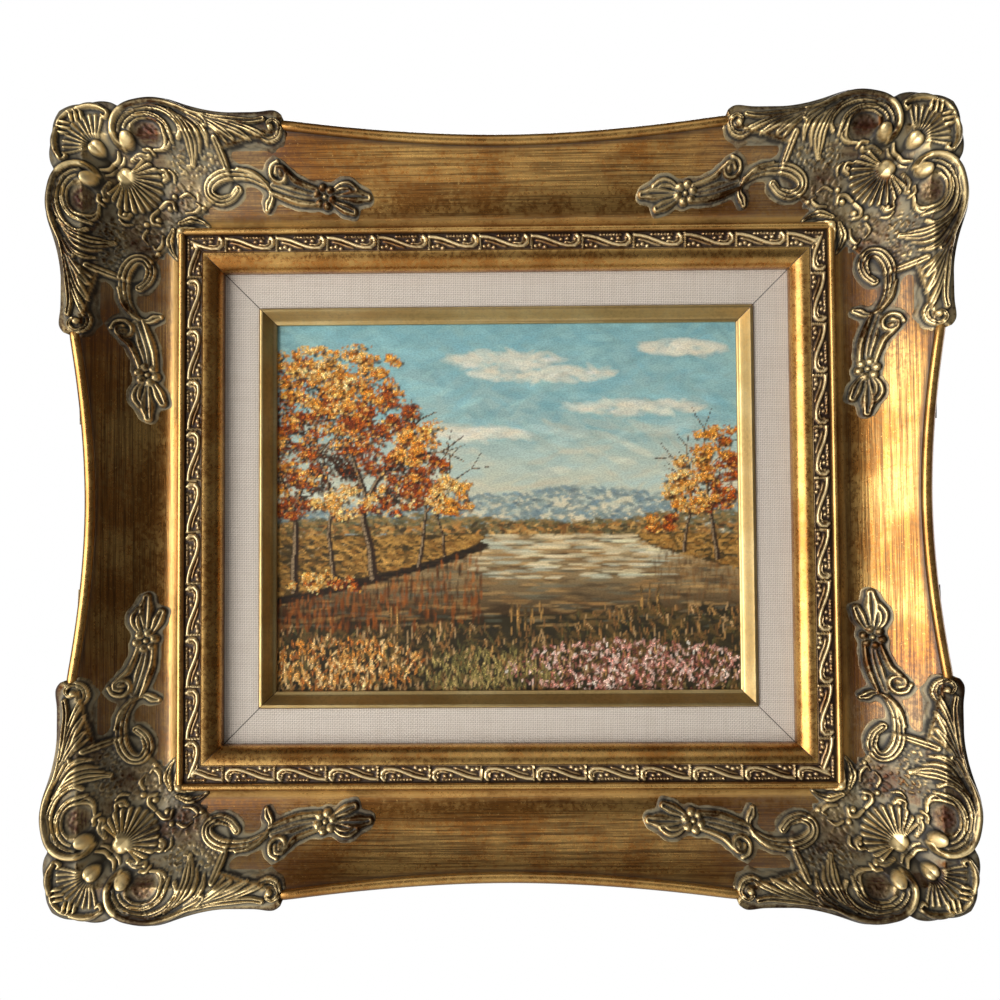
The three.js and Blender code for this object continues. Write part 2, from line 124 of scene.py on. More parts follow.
# %% Mesh helpers
def make_piece(name, points, faces, values=None, lay=None, sharp=40.0):
    """A mesh object from an (n, 3) array of points and a list of face arrays. values are
    stored on the points by name, lay becomes the UV map, and edges that turn by more than
    sharp degrees are kept crisp."""
    mesh = bpy.data.meshes.new(name)
    mesh.from_pydata(points.reshape(-1, 3), [], [f for group in faces for f in group.tolist()])
    for key, value in (values or {}).items():
        layer = mesh.attributes.new(key, "FLOAT", "POINT")
        layer.data.foreach_set("value", np.ascontiguousarray(value, np.float32).ravel())
    if lay is not None:
        corners = np.empty(len(mesh.loops), np.int32)
        mesh.loops.foreach_get("vertex_index", corners)
        uv = mesh.uv_layers.new(name="lay")
        uv.data.foreach_set("uv", lay.reshape(-1, 2)[corners].astype(np.float32).ravel())
    mesh.shade_smooth()
    mesh.set_sharp_from_angle(angle=math.radians(sharp))
    mesh.update()
    piece = bpy.data.objects.new(name, mesh)
    bpy.context.scene.collection.objects.link(piece)
    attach(piece, "root")
    return piece


def grid_faces(rows, columns, closed=False):
    """Four corners of each cell of a grid numbered row by row. closed joins the last
    column to the first."""
    across = columns if closed else columns - 1
    r, c = np.meshgrid(np.arange(rows - 1), np.arange(across), indexing="ij")
    here, there = r * columns + c, r * columns + (c + 1) % columns
    return np.stack([here, there, there + columns, here + columns], -1).reshape(-1, 4)


def smoothstep(low, high, value):
    """0 below low, 1 above high, and 3t^2 - 2t^3 between."""
    t = np.clip((value - low) / (high - low), 0, 1)
    return t * t * (3 - 2 * t)


# %% [markdown]
# ## The camera
#
# The photograph was taken from in front, a little to one side, with the lens about
# 640 mm from the frame. The turn and place below come from matching the mitre corners.

# %% Camera at the photograph's viewpoint
turn = Vector((math.radians(-2.25696), math.radians(0.77220), math.radians(-0.37508)))
lens_turn = Matrix.Rotation(turn.length, 3, turn.normalized())
lens_place = -(lens_turn.transposed() @ Vector((4.060, 3.963, 638.12)))
to_scene = Matrix(((1, 0, 0), (0, 0, 1), (0, -1, 0)))  # right, down, away to X, Y, Z
right, down, away = (to_scene @ Vector(row) for row in lens_turn)
camera_data = bpy.data.cameras.new("camera")
camera = bpy.data.objects.new("camera", camera_data)
bpy.context.scene.collection.objects.link(camera)
facing = Matrix((right, -down, -away)).transposed().to_4x4()
place = (to_scene @ lens_place + Vector((0, 0, middle_up))) * 0.001
camera.matrix_world = Matrix.Translation(place) @ facing
camera_data.lens, camera_data.sensor_width = 41.4, 36.0
camera_data.clip_start, camera_data.clip_end = 0.01, 30
bpy.context.scene.camera = camera
print("camera at", [round(v, 4) for v in camera.matrix_world.translation])

# %% [markdown]
# ## The moulding's section
#
# A frame maker draws a moulding as a section and runs it along the wood. From the inside
# out this one has a rounded lip, a flat band for the running ornament, a bead, a wide
# scoop, and a rim. The rim swings in towards the middle of each side, so the outer part
# of the section stretches with the rail's width.


# %% Heights across the moulding
def scoop_height(n):
    """Height of the scoop n millimetres out from the sight edge: 31.8 at n = 28, rising
    with the power 1.7 of the distance on either side, and level beyond n = 66.5."""
    inner = 31.8 + 2.7 * np.clip((28 - n) / 5.4, 0, 1) ** 1.7
    outer = 31.8 + 23.1 * np.clip((n - 28) / 38.5, 0, 1) ** 1.7
    return np.where(n < 28, inner, outer)


def rail_width(x, half_length):
    """Width of a rail: 74 near the corners, less 7.5 in the middle, along a curve of
    power 1.9."""
    reach = np.clip(np.abs(x) / (half_length - 30.5), 0, 1)
    return 74 - 7.5 * (1 - reach**1.9)


def rail_section(width):
    """Points (n, d) round the section for an array of widths, one row for each width."""
    width = np.atleast_1d(width)[:, None]
    one = np.ones_like(width)
    quarter = np.linspace(0, np.pi / 2, 12)
    half = np.linspace(0, np.pi, 9)
    lip = (9 * (1 - np.cos(quarter)), 28.1 + 7.9 * np.sin(quarter))  # and a shallow channel behind it for the band
    band = (np.array([9.3, 9.32, 18.5, 18.52]), np.array([36.0, 33.6, 33.6, 35.0]))
    bead = (18.5 + 2.05 * (1 - np.cos(half)), 35.0 + 3.2 * np.sin(half) ** 0.8)
    dip = np.linspace(22.7, 27, 4)
    fixed_n = np.concatenate([[4.1, 4.1, 0], lip[0], band[0], bead[0], dip])
    fixed_d = np.concatenate([[0, 25.5, 25.5], lip[1], band[1], bead[1], scoop_height(dip)])
    rim_start = width - 6
    scoop_n = 28 + np.linspace(0, 1, 16) * (rim_start - 28)
    level = scoop_height(rim_start)
    swing = np.radians(np.linspace(8, 205, 11))
    rim_n = width - 2.8 - 2.8 * np.cos(swing)
    rim_d = level - 0.5 + 2.4 * np.sin(swing)
    side_n = width - np.array([0.5, 1.2, 3.0, 5.6, 7.5, 7.5])
    side_d = np.concatenate([level - 4, level - 8, level * 0.62, level * 0.38, 13 * one, 0 * one], 1)
    n = np.concatenate([fixed_n * one, scoop_n, rim_n, side_n], 1)
    d = np.concatenate([fixed_d * one, scoop_height(scoop_n), rim_d, side_d], 1)
    return n, d


print("the section has", rail_section(74.0)[0].shape[1], "points")

# %% [markdown]
# ## The running ornament
#
# Pressed into the band is a pattern that repeats every 27 mm: an upright stop, a strand
# that falls across the band and turns up into the next stop, a row of tiny beads on the
# outer side and a few buds on the inner side. Each is a bump whose height falls off with
# the distance from a line, so the whole pattern is one function of x and n.


# %% Height of the running ornament
def line_distance(x, y, points):
    """Distance from each (x, y) to a chain of straight lines."""
    points = np.asarray(points, float)
    nearest = np.full(np.shape(x), 1e9)
    for (x0, y0), (x1, y1) in zip(points[:-1], points[1:]):
        dx, dy = x1 - x0, y1 - y0
        t = np.clip(((x - x0) * dx + (y - y0) * dy) / (dx * dx + dy * dy), 0, 1)
        nearest = np.minimum(nearest, np.hypot(x - x0 - t * dx, y - y0 - t * dy))
    return nearest


def round_over(distance, width):
    """A half-round ridge: the square root of 1 - (distance / width)^2, and 0 outside."""
    return np.sqrt(np.clip(1 - (distance / width) ** 2, 0, 1))


def running_height(x, n):
    """Millimetres that the ornament stands above the band at x along and n out."""
    u, v = np.mod(x + 13.5, 27), n - 9.35
    strand = [(0.9, 7.4), (4, 7.2), (8, 6.2), (12, 4.6), (16, 3.0), (20, 2.1), (23.4, 2.3), (25.3, 4.0), (25.4, 6.6), (24.2, 7.9)]
    hook = [(18.4, 4.1), (21.4, 3.6), (23.3, 4.6), (23.4, 6.8)]
    tail = [(3.4, 5.2), (7.4, 4.2), (11, 2.7), (14, 1.9)]
    height = 1.6 * round_over(line_distance(u, v, strand), 0.98)
    height = np.maximum(height, 1.15 * round_over(line_distance(u, v, hook), 0.55))
    height = np.maximum(height, 0.9 * round_over(line_distance(u, v, tail), 0.6))
    height = np.maximum(height, 1.5 * round_over(line_distance(u, v, [(0.2, 1.2), (0.2, 7.9)]), 0.95))
    for k in range(7):
        height = np.maximum(height, 1.1 * round_over(np.hypot(u - 10.2 - 1.7 * k, v - 7.8), 0.78))
    for bud_u, bud_v, size in ((2.6, 2.2, 1.1), (5.0, 2.7, 1.2), (7.6, 1.7, 1.0), (16.2, 5.6, 1.0), (19.4, 6.0, 1.0)):
        height = np.maximum(height, 1.2 * round_over(np.hypot(u - bud_u, v - bud_v), size))
    height = np.maximum(height, 0.5 * round_over(np.abs(v - 0.55), 0.4))
    fade = smoothstep(0, 0.4, v) * smoothstep(0, 0.35, 9.15 - v)
    return height * fade


print("running ornament stands", round(float(running_height(np.linspace(0, 27, 200)[:, None], np.linspace(9.4, 18.4, 60)).max()), 2), "mm")

# %% [markdown]
# ## The four rails
#
# Each rail is the section carried along x. The ends are cut at 45 degrees, so the length
# of each line grows with its distance out from the sight edge. The points are spread
# evenly between those ends, and the rail is then turned to its side of the picture.


# %% Build the rails
def lay_on_side(side, along, out, open_x, open_up):
    """Turns (along, out) of one side of a rectangle into picture (x, up)."""
    return {
        "top": (along, open_up + out),
        "bottom": (-along, -open_up - out),
        "left": (-open_x - out, along),
        "right": (open_x + out, -along),
    }[side]


def bar_faces(rows, columns, turned=False):
    """A closed section carried along, with one flat face at each end. turned makes every
    face look the other way, for a section that runs round the other way."""
    ends = [np.arange(columns)[::-1][None], (rows - 1) * columns + np.arange(columns)[None]]
    faces = [grid_faces(rows, columns, closed=True), *ends]
    return [f[:, ::-1] for f in faces] if turned else faces


def build_rail(side):
    """The moulding itself. Lines every 4 mm along it are enough, for its only curve along
    the length is the slow swing of the rim."""
    half = sight_x if side in ("top", "bottom") else sight_up
    rows = 2 * int((half + 40) / 4) + 1
    t = np.linspace(-1, 1, rows)[:, None]
    n, d = rail_section(rail_width(t[:, 0] * (half + 70), half))
    x = t * (half + n - 0.01)
    arc = np.cumsum(np.hypot(np.diff(n, axis=1, prepend=n[:, :1]), np.diff(d, axis=1, prepend=d[:, :1])), axis=1)
    rim = rail_width(t * (half + 70), half)
    line = lambda where, wide: np.exp(-(((n - where) / wide) ** 2)) * (d > 30)
    scoop = (n > 22.8) & (n < rim - 5.9)
    d = d - 2.8 * smoothstep(half - 35, half - 30, np.abs(x)) * smoothstep(58, 64, n) * smoothstep(30, 45, d)  # room under the castings
    values = {
        # groove darkens the grooves beside the bead and the rim and the rim's outer edge: painted shade. crest
        # brightens the bead, the rim, both edges of the lip and a band of the scoop beside the bead: painted
        # highlights, with rubbed gold on the raised edges.
        "groove": np.clip(line(22.9, 0.6) + line(18.6, 0.5) + line(rim - 6.2, 0.8) + line(rim, 1.2), 0, 1),
        "crest": np.clip(0.7 * line(20.4, 0.8) + 0.35 * line(rim - 3.2, 1.2) + 0.4 * line(0.4, 0.5) + 0.9 * line(8.6, 0.7) + 0.7 * line(24.9, 2.0), 0, 1),
        "bare": 1.0 * (((d < 30) & (n > 30)) | (d < 27)),
        "clay": np.clip(0.3 * line(27.5, 3.2) + 0.95 * smoothstep(half - 78, half - 22, np.abs(x)) * scoop, 0, 1),
        "wash": smoothstep(half - 58, half - 20, np.abs(x) - 0.4 * np.abs(n - 45)) * scoop,
        "streak": np.where(scoop, 1.0, 0.12),
        "mitre": half + n - np.abs(x),
    }
    px, up = lay_on_side(side, x, n, sight_x, sight_up)
    lay = np.stack([x, arc], -1) * 0.001
    faces = bar_faces(*n.shape, turned=True)
    piece = make_piece("frame_rail_" + side, scene_points(px, up, d), faces, values, lay, 32)
    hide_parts("rail_" + side)
    return piece


def build_band(side):
    """The strip of running ornament in its channel, with a line every 0.7 mm."""
    half = sight_x if side in ("top", "bottom") else sight_up
    rows = int(2 * (half + 14) / 0.7)
    t = np.linspace(-1, 1, rows)[:, None]
    n = np.concatenate([[9.34, 9.34], np.linspace(9.36, 18.46, 29), [18.48, 18.48]])[None, :] + 0 * t
    x = t * (half + n - 0.01)
    relief = running_height(x, n)
    relief = np.maximum(relief, 1.5 * round_over(np.hypot(half + n - np.abs(x), n - 13.6), 2.0))
    d = 35.2 + relief
    d[:, [0, -1]], d[:, [1, -2]] = 33.65, 34.9
    # On the band, groove darkens the low ground between the ornament as painted shade, and crest brightens the
    # ornament's tops as painted highlight.
    values = {"groove": 1 - smoothstep(0.15, 0.7, relief), "crest": 0.9 * smoothstep(0.75, 1.3, relief), "mitre": half + n - np.abs(x)}
    px, up = lay_on_side(side, x, n, sight_x, sight_up)
    faces = bar_faces(*n.shape, turned=True)
    piece = make_piece("ornament_band_" + side, scene_points(px, up, d), faces, values, np.stack([x, n], -1) * 0.001, 60)
    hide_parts("rail_" + side)
    return piece


SIDES = ("top", "bottom", "left", "right")
triangles = lambda thing: sum(len(p.vertices) - 2 for p in thing.data.polygons)
rails = [build_rail(side) for side in SIDES]
bands = [build_band(side) for side in SIDES]
print("triangles in the rails:", [triangles(r) for r in rails], "and bands:", [triangles(b) for b in bands])

# %% [markdown]
# The hanger sits flush in a pocket behind the top rail. A joiner would chisel it out, and
# here a plain block is taken away from the rail and then thrown away itself.


# %% Cut the hanger's pocket
def cut_pocket(piece, low, high):
    """Takes the box from low to high, in metres, out of a piece, and marks the points
    behind it as bare wood."""
    corners = np.array([(x, y, z) for x in (low[0], high[0]) for y in (low[1], high[1]) for z in (low[2], high[2])])
    sides = [(0, 1, 3, 2), (4, 6, 7, 5), (0, 4, 5, 1), (2, 3, 7, 6), (0, 2, 6, 4), (1, 5, 7, 3)]
    block_mesh = bpy.data.meshes.new("block")
    block_mesh.from_pydata(corners.tolist(), [], sides)
    block = bpy.data.objects.new("block", block_mesh)
    bpy.context.scene.collection.objects.link(block)
    cut = piece.modifiers.new("pocket", "BOOLEAN")
    cut.operation, cut.object, cut.solver = "DIFFERENCE", block, "EXACT"
    finished = bpy.data.meshes.new_from_object(piece.evaluated_get(bpy.context.evaluated_depsgraph_get()))
    piece.modifiers.clear()
    piece.data = finished
    bpy.data.objects.remove(block)
    place, bare = np.empty(3 * len(finished.vertices)), np.empty(len(finished.vertices))
    finished.vertices.foreach_get("co", place)
    finished.attributes["bare"].data.foreach_get("value", bare)
    finished.attributes["bare"].data.foreach_set("value", np.maximum(bare, place[1::3] > -0.006).astype(np.float32))
    finished.set_sharp_from_angle(angle=math.radians(32))


hanger_low, hanger_high = (np.array(c, float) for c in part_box("hanger"))
pocket_low = hanger_low - np.array([0.0003, 0.0, 0.002])
pocket_high = hanger_high + np.array([0.0003, 0.001, 0.002])
pocket_low[1] = hanger_high[1] - 0.0032
cut_pocket(rails[0], pocket_low, pocket_high)
print("pocket spans", np.round(1000 * (pocket_high - pocket_low), 1), "mm")

# %% [markdown]
# ## The corner ornaments
#
# On the real frame these are cast in composition and glued over the mitres. Each is the
# same shape, turned or mirrored, and each is alike about its own diagonal. So one half
# is worked out as a height over a grid, in a, along the rail, and b, out from the sight
# edge, both from the sight corner. Scrolls and leaves are strokes with a round section,
# some with several ridges side by side, and the highest one wins where they cross.


# %% Strokes
def smooth_path(points, between=6):
    """Catmull-Rom curve through the points, with a few points added between each pair."""
    p = np.asarray(points, float)
    p = np.vstack([2 * p[0] - p[1], p, 2 * p[-1] - p[-2]])
    t = np.linspace(0, 1, between, endpoint=False)[:, None]
    parts = [
        0.5 * (2 * b + (c - a) * t + (2 * a - 5 * b + 4 * c - d) * t**2 + (3 * b - a - 3 * c + d) * t**3)
        for a, b, c, d in zip(p[:-3], p[1:-2], p[2:-1], p[3:])
    ]
    return np.vstack([*parts, p[-2:-1]])


def along_path(a, b, points):
    """For each (a, b): distance to the curve, which side of it, and how far along, 0 to 1."""
    path = smooth_path(points)
    start, step = path[:-1], np.diff(path, axis=0)
    size = np.hypot(*step.T)
    run = np.concatenate([[0], np.cumsum(size)])
    da, db = a[..., None] - start[:, 0], b[..., None] - start[:, 1]
    t = np.clip((da * step[:, 0] + db * step[:, 1]) / size**2, 0, 1)
    gap = np.hypot(da - t * step[:, 0], db - t * step[:, 1])
    pick = np.argmin(gap, axis=-1)[..., None]
    take = lambda v: np.take_along_axis(v, pick, -1)[..., 0]
    side = np.sign(take(da * step[:, 1] - db * step[:, 0]))
    return take(gap), side, (run[pick[..., 0]] + take(t) * size[pick[..., 0]]) / run[-1]


def stroke(a, b, points, width, height, ridges=1, ends=(0.5, 0.5), belly=0.5):
    """Height of a stroke whose half width is width times the ends' shares at its ends and
    full at belly of the way. Its section is a half round, carved into ridges."""
    gap, side, t = along_path(a, b, points)
    swell = np.where(t < belly, ends[0] + (1 - ends[0]) * smoothstep(0, belly, t), ends[1] + (1 - ends[1]) * smoothstep(1, belly, t))
    wide = width * swell
    q = np.clip(gap / wide, 0, 1)
    shape = (1 - q * q) ** 0.7
    if ridges > 1:
        lane = (side * q + 1) / 2 * ridges
        shape = (1 - q * q) ** 0.42 * (0.32 + 0.68 * np.abs(np.sin(np.pi * lane)) ** 0.85)
    return height * shape * (0.55 + 0.45 * swell)


def ball(a, b, centre, radius, height):
    """A dome: height times the square root of 1 - (distance / radius)^2."""
    return height * round_over(np.hypot(a - centre[0], b - centre[1]), radius)


def pebbles(a, b, size, seed):
    """0 to 1: near 1 at the middle of small dots that are scattered one to a cell."""
    chance = np.random.default_rng(seed).random((64, 64, 3))
    cell_a, cell_b = np.floor(a / size).astype(int), np.floor(b / size).astype(int)
    best = np.zeros(np.shape(a))
    for i in (-1, 0, 1):
        for j in (-1, 0, 1):
            u, v = cell_a + i, cell_b + j
            dice = chance[u % 64, v % 64]
            away = np.hypot(a - (u + dice[..., 0]) * size, b - (v + dice[..., 1]) * size)
            best = np.maximum(best, round_over(away, size * (0.32 + 0.2 * dice[..., 2])))
    return best


print("a curve through 3 points has", len(smooth_path([(0, 0), (1, 1), (2, 0)])), "points")

# %% [markdown]
# The list below is the ornament itself, for the half beside the top rail: a C-scroll with
# its round end and its strands, leaves that run to a small scroll on the rim, a strap, a
# ribbon loop, and the spray along the rail with its spiral, its flower and its leaf tip.

# %% The ornament of half a corner
# points (a, b), half width, height, ridges, share of the width at both ends, widest place
C_SCROLL = [
    ([(46, 60.6), (49.6, 63.4), (50.9, 69), (48.9, 75), (44.8, 79), (39, 81.3), (32.3, 82.3), (25, 81.9), (17.9, 79.8), (10.7, 76.8), (3, 74.9)], 2.6, 4.4, 1, (0.75, 0.35), 0.45),
    ([(48, 67.4), (47, 71.6), (43.4, 76), (37.2, 78.7), (29.2, 79.2), (21.7, 76.2), (16.9, 71.1), (15.6, 67), (17.4, 64.2)], 1.75, 3.3, 2, (0.35, 0.6), 0.5),
    ([(45, 69.4), (43, 72.8), (37.7, 75.8), (30.7, 75.6), (24.4, 72), (21.5, 67.1), (20.7, 62.6)], 1.35, 2.7, 2, (0.4, 0.6), 0.5),
    ([(41.6, 70.6), (37, 73.7), (30.5, 73.4), (26, 70.3), (24.2, 66), (24.6, 62), (27.4, 59.8), (31, 59.6)], 0.85, 1.9, 1, (0.5, 0.9), 0.6),
    ([(27, 59.6), (24, 60.4), (22.2, 62.6), (23.3, 64.6)], 1.0, 2.0, 1, (0.9, 0.5), 0.3),
]
LEAVES = [
    ([(21.5, 78), (14.8, 71.6), (11.2, 64), (11.3, 58), (12.2, 53.6)], 2.9, 3.6, 3, (0.3, 0.45), 0.72),
    ([(16, 75), (8.6, 69), (6.6, 63.5), (7.6, 58.4)], 1.3, 2.5, 1, (0.35, 0.5), 0.75),
    ([(12, 74.5), (5.6, 70), (3.0, 65.6), (3.2, 61.4)], 1.4, 2.4, 2, (0.3, 0.5), 0.7),
    ([(19, 79.4), (10.5, 76), (4.4, 73), (2.6, 70.4)], 1.9, 2.9, 2, (0.3, 0.75), 0.8),
    ([(9, 76), (0.5, 71.4), (-5, 67.8), (-10.6, 63.9)], 1.75, 2.8, 2, (0.3, 0.6), 0.75),
    ([(2, 70.4), (-3.5, 66.4), (-7, 62.6)], 1.1, 2.0, 1, (0.3, 0.6), 0.7),
    ([(6, 74.4), (-4, 70.4), (-13, 66.6), (-18.8, 63.8)], 1.7, 2.7, 2, (0.35, 0.55), 0.75),
    ([(2, 74.6), (-8, 71.6), (-17, 68.6), (-24, 65.6), (-29, 63.4), (-34, 65), (-35.6, 69.2), (-32.5, 72), (-29.6, 70.4), (-30.4, 67.6)], 1.5, 3.3, 2, (0.5, 0.6), 0.5),
    ([(8, 76.4), (-2, 73.7), (-12, 72.2), (-21, 71.5), (-27, 72.4)], 1.8, 3.4, 2, (0.5, 0.8), 0.6),
    ([(-1.4, 63.8), (-3.6, 57.5), (-5.4, 51)], 2.0, 2.5, 2, (0.8, 0.9), 0.5),
]
RIBBON = [
    ([(-24.6, 44.8), (-17.5, 48.2), (-9, 49.4), (-1, 48.2), (4.6, 44.6), (5.2, 40), (0.4, 37.2), (-5.4, 38.6), (-9.6, 42.6)], 2.6, 3.3, 3, (0.6, 0.7), 0.5),
    ([(-10.5, 51.8), (-17.5, 49.8), (-23, 46.4), (-26, 42.8)], 1.6, 3.0, 1, (0.6, 0.7), 0.5),
    ([(-26.4, 42.6), (-26.8, 38.4), (-25.3, 35.4), (-24.4, 32.6)], 2.0, 3.0, 2, (0.3, 0.6), 0.7),
    ([(-30.4, 49.8), (-31.4, 52.2), (-34.4, 52), (-35.8, 49), (-34, 46), (-30.4, 45.8), (-27.6, 48.8), (-28.4, 52.8), (-32, 54.8)], 1.25, 3.0, 1, (0.9, 0.7), 0.4),
    ([(-36, 50.6), (-40, 46.6), (-45.5, 44.2), (-51.7, 42.2)], 1.5, 2.8, 1, (0.9, 0.8), 0.3),
    ([(-26.6, 41), (-34, 38.4), (-43, 35.8), (-51.7, 35)], 1.7, 2.8, 1, (0.6, 0.8), 0.5),
    ([(-28, 44.4), (-37, 41.8), (-45, 39.8), (-51, 39)], 2.4, 2.2, 2, (0.6, 0.6), 0.5),
    ([(-33.6, 48.8), (-33, 50.2)], 1.9, 3.0, 1, (0.9, 0.9), 0.5),
    ([(-59.4, 41), (-63.6, 43.4), (-68, 43.6), (-71.4, 41.6)], 2.3, 3.1, 2, (0.5, 0.95), 0.7),
    ([(-61, 38.8), (-67, 38.9), (-73, 38.8), (-78.2, 38.2)], 3.3, 3.1, 2, (0.35, 0.6), 0.65),
    ([(-59.4, 36.2), (-63.6, 34), (-67.4, 32.4), (-70.2, 31.2)], 2.6, 3.1, 2, (0.5, 0.8), 0.65),
]
RIM_AND_BORDERS = [
    ([(68.4, 79.2), (63, 80.4), (57.4, 79.6), (53.4, 77.4)], 1.9, 3.4, 1, (0.8, 0.7), 0.5),
    ([(52.6, 76.4), (54.4, 74.4), (56.2, 75.8)], 1.1, 2.6, 1, (0.8, 0.6), 0.5),
    ([(66.4, 73.6), (66.6, 76.6), (67.4, 78.4)], 1.05, 2.7, 1, (0.6, 0.6), 0.5),
    ([(69, 72.6), (69.3, 76), (70, 78.2)], 1.05, 2.9, 1, (0.6, 0.6), 0.5),
    ([(71.6, 73), (72, 75.8), (72.6, 77.6)], 1.05, 2.9, 1, (0.6, 0.6), 0.5),
    ([(68.6, 79.3), (73, 77.6), (75.6, 75.6)], 1.3, 2.6, 1, (0.6, 0.9), 0.6),
    ([(50.2, 59.4), (51.2, 55.6), (54, 54)], 1.25, 2.8, 1, (0.5, 0.9), 0.6),
    ([(47.6, 57), (49, 54.4), (52, 52)], 1.0, 2.2, 1, (0.5, 0.9), 0.6),
    ([(44, 55.6), (39.5, 57), (34.6, 56.6)], 1.9, 2.2, 2, (0.5, 0.7), 0.6),
    ([(36.4, 59.8), (33.2, 60.0), (31.4, 57.8)], 1.1, 2.4, 1, (0.7, 0.8), 0.5),
    ([(30.8, 51), (27.6, 51), (26.4, 48.2), (28.8, 46.6)], 1.15, 2.6, 1, (0.6, 0.9), 0.5),
    ([(25.4, 51.2), (23, 49), (23.6, 45.8)], 0.95, 2.2, 1, (0.7, 0.5), 0.5),
    ([(32.6, 33.8), (29, 36.4), (25.4, 36), (24.6, 33)], 1.4, 2.7, 1, (0.6, 0.8), 0.5),
    ([(21.5, 39), (17.5, 40.6), (14, 38.6)], 1.1, 2.0, 1, (0.6, 0.5), 0.5),
    ([(21.8, 25.6), (16, 27.6), (10.6, 26.4), (6.6, 23.8)], 2.3, 3.4, 2, (0.7, 0.3), 0.35),
    ([(22.4, 22), (15, 22.4), (9, 21.4)], 1.3, 2.8, 1, (0.7, 0.4), 0.35),
    ([(19, 31.2), (14.4, 31.6), (11.2, 34.4), (13.2, 36)], 1.1, 2.0, 1, (0.7, 0.6), 0.5),
]
BALLS = [
    ((43.9, 63.4), 4.1, 5.2), ((28.2, 48.6), 1.5, 3.0), ((24.4, 39.2), 1.5, 2.4), ((27.2, 33.4), 1.7, 3.0),
    ((34.2, 57.2), 1.2, 2.4), ((20.6, 20.6), 2.6, 4.2), ((9.4, 33.6), 1.2, 1.8), ((-30.8, 68.6), 1.7, 3.0),
]
print(sum(map(len, (C_SCROLL, LEAVES, RIBBON, RIM_AND_BORDERS))), "strokes and", len(BALLS), "balls in half a corner")

# %% [markdown]
# The two shells are fans: a dome round a boss, whose surface waves with the angle. Between
# the strokes lies a ground that real casters punched with small dots, so that it looks
# dark and makes the scrolls stand out.


# %% Height of a corner ornament
def inner_shell(a, b):
    """A fan of 15 ribs that opens towards the picture: 3.4 (1 - (r / 20)^2) and a wave."""
    r = np.hypot(a - 48, b - 48)
    angle = np.arctan2(b - 48, a - 48) % (2 * np.pi)
    turn_share = (angle - math.radians(138)) / math.radians(174)
    wave = np.abs(np.cos(np.pi * 15 * turn_share))
    reach = 17.2 + 1.5 * np.abs(np.sin(np.pi * 15 * turn_share)) + 1.2 * np.cos(2 * (angle - math.radians(225))) - 4 * smoothstep(0.2, 0, turn_share) - 4 * smoothstep(0.8, 1, turn_share)
    inside = smoothstep(0, 0.03, turn_share) * smoothstep(1, 0.97, turn_share) * smoothstep(reach, reach - 1.2, r)
    dome = 1.9 + 2.2 * (1 - (r / 20) ** 2) - 2.0 * wave**2.2 * smoothstep(3.5, 7, r)
    return np.clip(dome, 0.2, None) * inside


def outer_shell(a, b):
    """Ribs that open towards the outer corner, in a dish that rises to its rim."""
    r = np.hypot(a - 60.2, b - 60.2)
    angle = np.arctan2(b - 60.2, a - 60.2)
    share = (angle - math.radians(-22)) / math.radians(134)
    wave = np.abs(np.cos(np.pi * 11 * share))
    inside = smoothstep(0, 0.05, share) * smoothstep(1, 0.95, share) * smoothstep(16.8, 15.4, r)
    return (0.3 + 1.9 * (1 - wave**0.7) * smoothstep(3.4, 6, r)) * inside


PLATE_EDGE = np.array([(18.0, 21), (24, 17), (30, 12), (36, 5), (40, -4), (46, -7), (52, -6), (60, -4), (63, -16), (66, -33), (75, -38)])


def casting_level(a, b):
    """Height of the half beside the top rail, where b is the distance out, and how much
    is plate, dots and stroke there."""
    rail = scoop_height(b)
    edge = np.interp(b, PLATE_EDGE[:, 0], PLATE_EDGE[:, 1])
    plate = smoothstep(-1.6, 0.8, a - edge)
    ground = 1.3 + 1.5 * smoothstep(46, 78, b)
    dish = np.clip(1 - ((a - 33) / 8.2) ** 2 - ((b - 67) / 7.4) ** 2, 0, 1)
    hole = np.clip(1 - ((a + 1.5) / 6.5) ** 2 - ((b - 43) / 3.4) ** 2, 0, 1)
    ground = ground - 2.2 * dish**0.6 - 1.6 * np.exp(-(((np.hypot(a - 60.2, b - 60.2) - 9) / 6) ** 2)) - 0.5 * hole
    dots = pebbles(a, b, 2.1, 5) * smoothstep(46, 50, b) * smoothstep(64, 60, b) * smoothstep(-6, -2, a) * smoothstep(27, 22, a)
    dots = np.maximum(dots, 0.75 * pebbles(a + 7, b, 2.7, 8) * smoothstep(50, 44, b) * smoothstep(6, 12, a) * smoothstep(30, 25, a))
    dots = np.maximum(dots, 0.6 * pebbles(a, b, 2.4, 9) * dish)
    strokes = np.zeros(np.shape(a))
    for group, fuller in ((C_SCROLL, 1.0), (LEAVES, 1.18), (RIBBON, 1.3), (RIM_AND_BORDERS, 1.05)):
        for points, width, height, ridges, ends, belly in group:
            strokes = np.maximum(strokes, stroke(a, b, points, width * fuller, height, ridges, ends, belly))
    for centre, radius, height in BALLS:
        strokes = np.maximum(strokes, ball(a, b, centre, radius, height))
    petal = np.arange(6) * np.pi / 3 + 0.3
    for angle in petal:
        strokes = np.maximum(strokes, ball(a, b, (-55.4 + 4.1 * np.cos(angle), 38.6 + 4.1 * np.sin(angle)), 2.6, 3.1))
    strokes = np.maximum(strokes, ball(a, b, (-55.4, 38.6), 1.6, 3.0))
    boss = np.maximum(ball(a, b, (60.2, 60.2), 4.0, 4.6), ball(a, b, (48.2, 48.2), 4.6, 4.6))
    shells = np.maximum(np.maximum(inner_shell(a, b), outer_shell(a, b)), boss)
    strokes = np.maximum(strokes, shells)
    relief = np.maximum(strokes, 0.75 * dots * plate)
    standing = np.where(strokes > 0.02, np.clip(strokes * 2, 0, 1), 0)
    on_rail = np.minimum(rail, scoop_height(rail_width(sight_up + a, sight_up) - 6)) - 0.6
    level = on_rail * (1 - plate) + (rail + ground) * plate
    level = np.where(plate > 0.02, level + relief, on_rail + np.where(strokes > 0.02, strokes + 0.5 * standing, 0))
    return np.minimum(level, 62.0), plate, dots, standing, dish


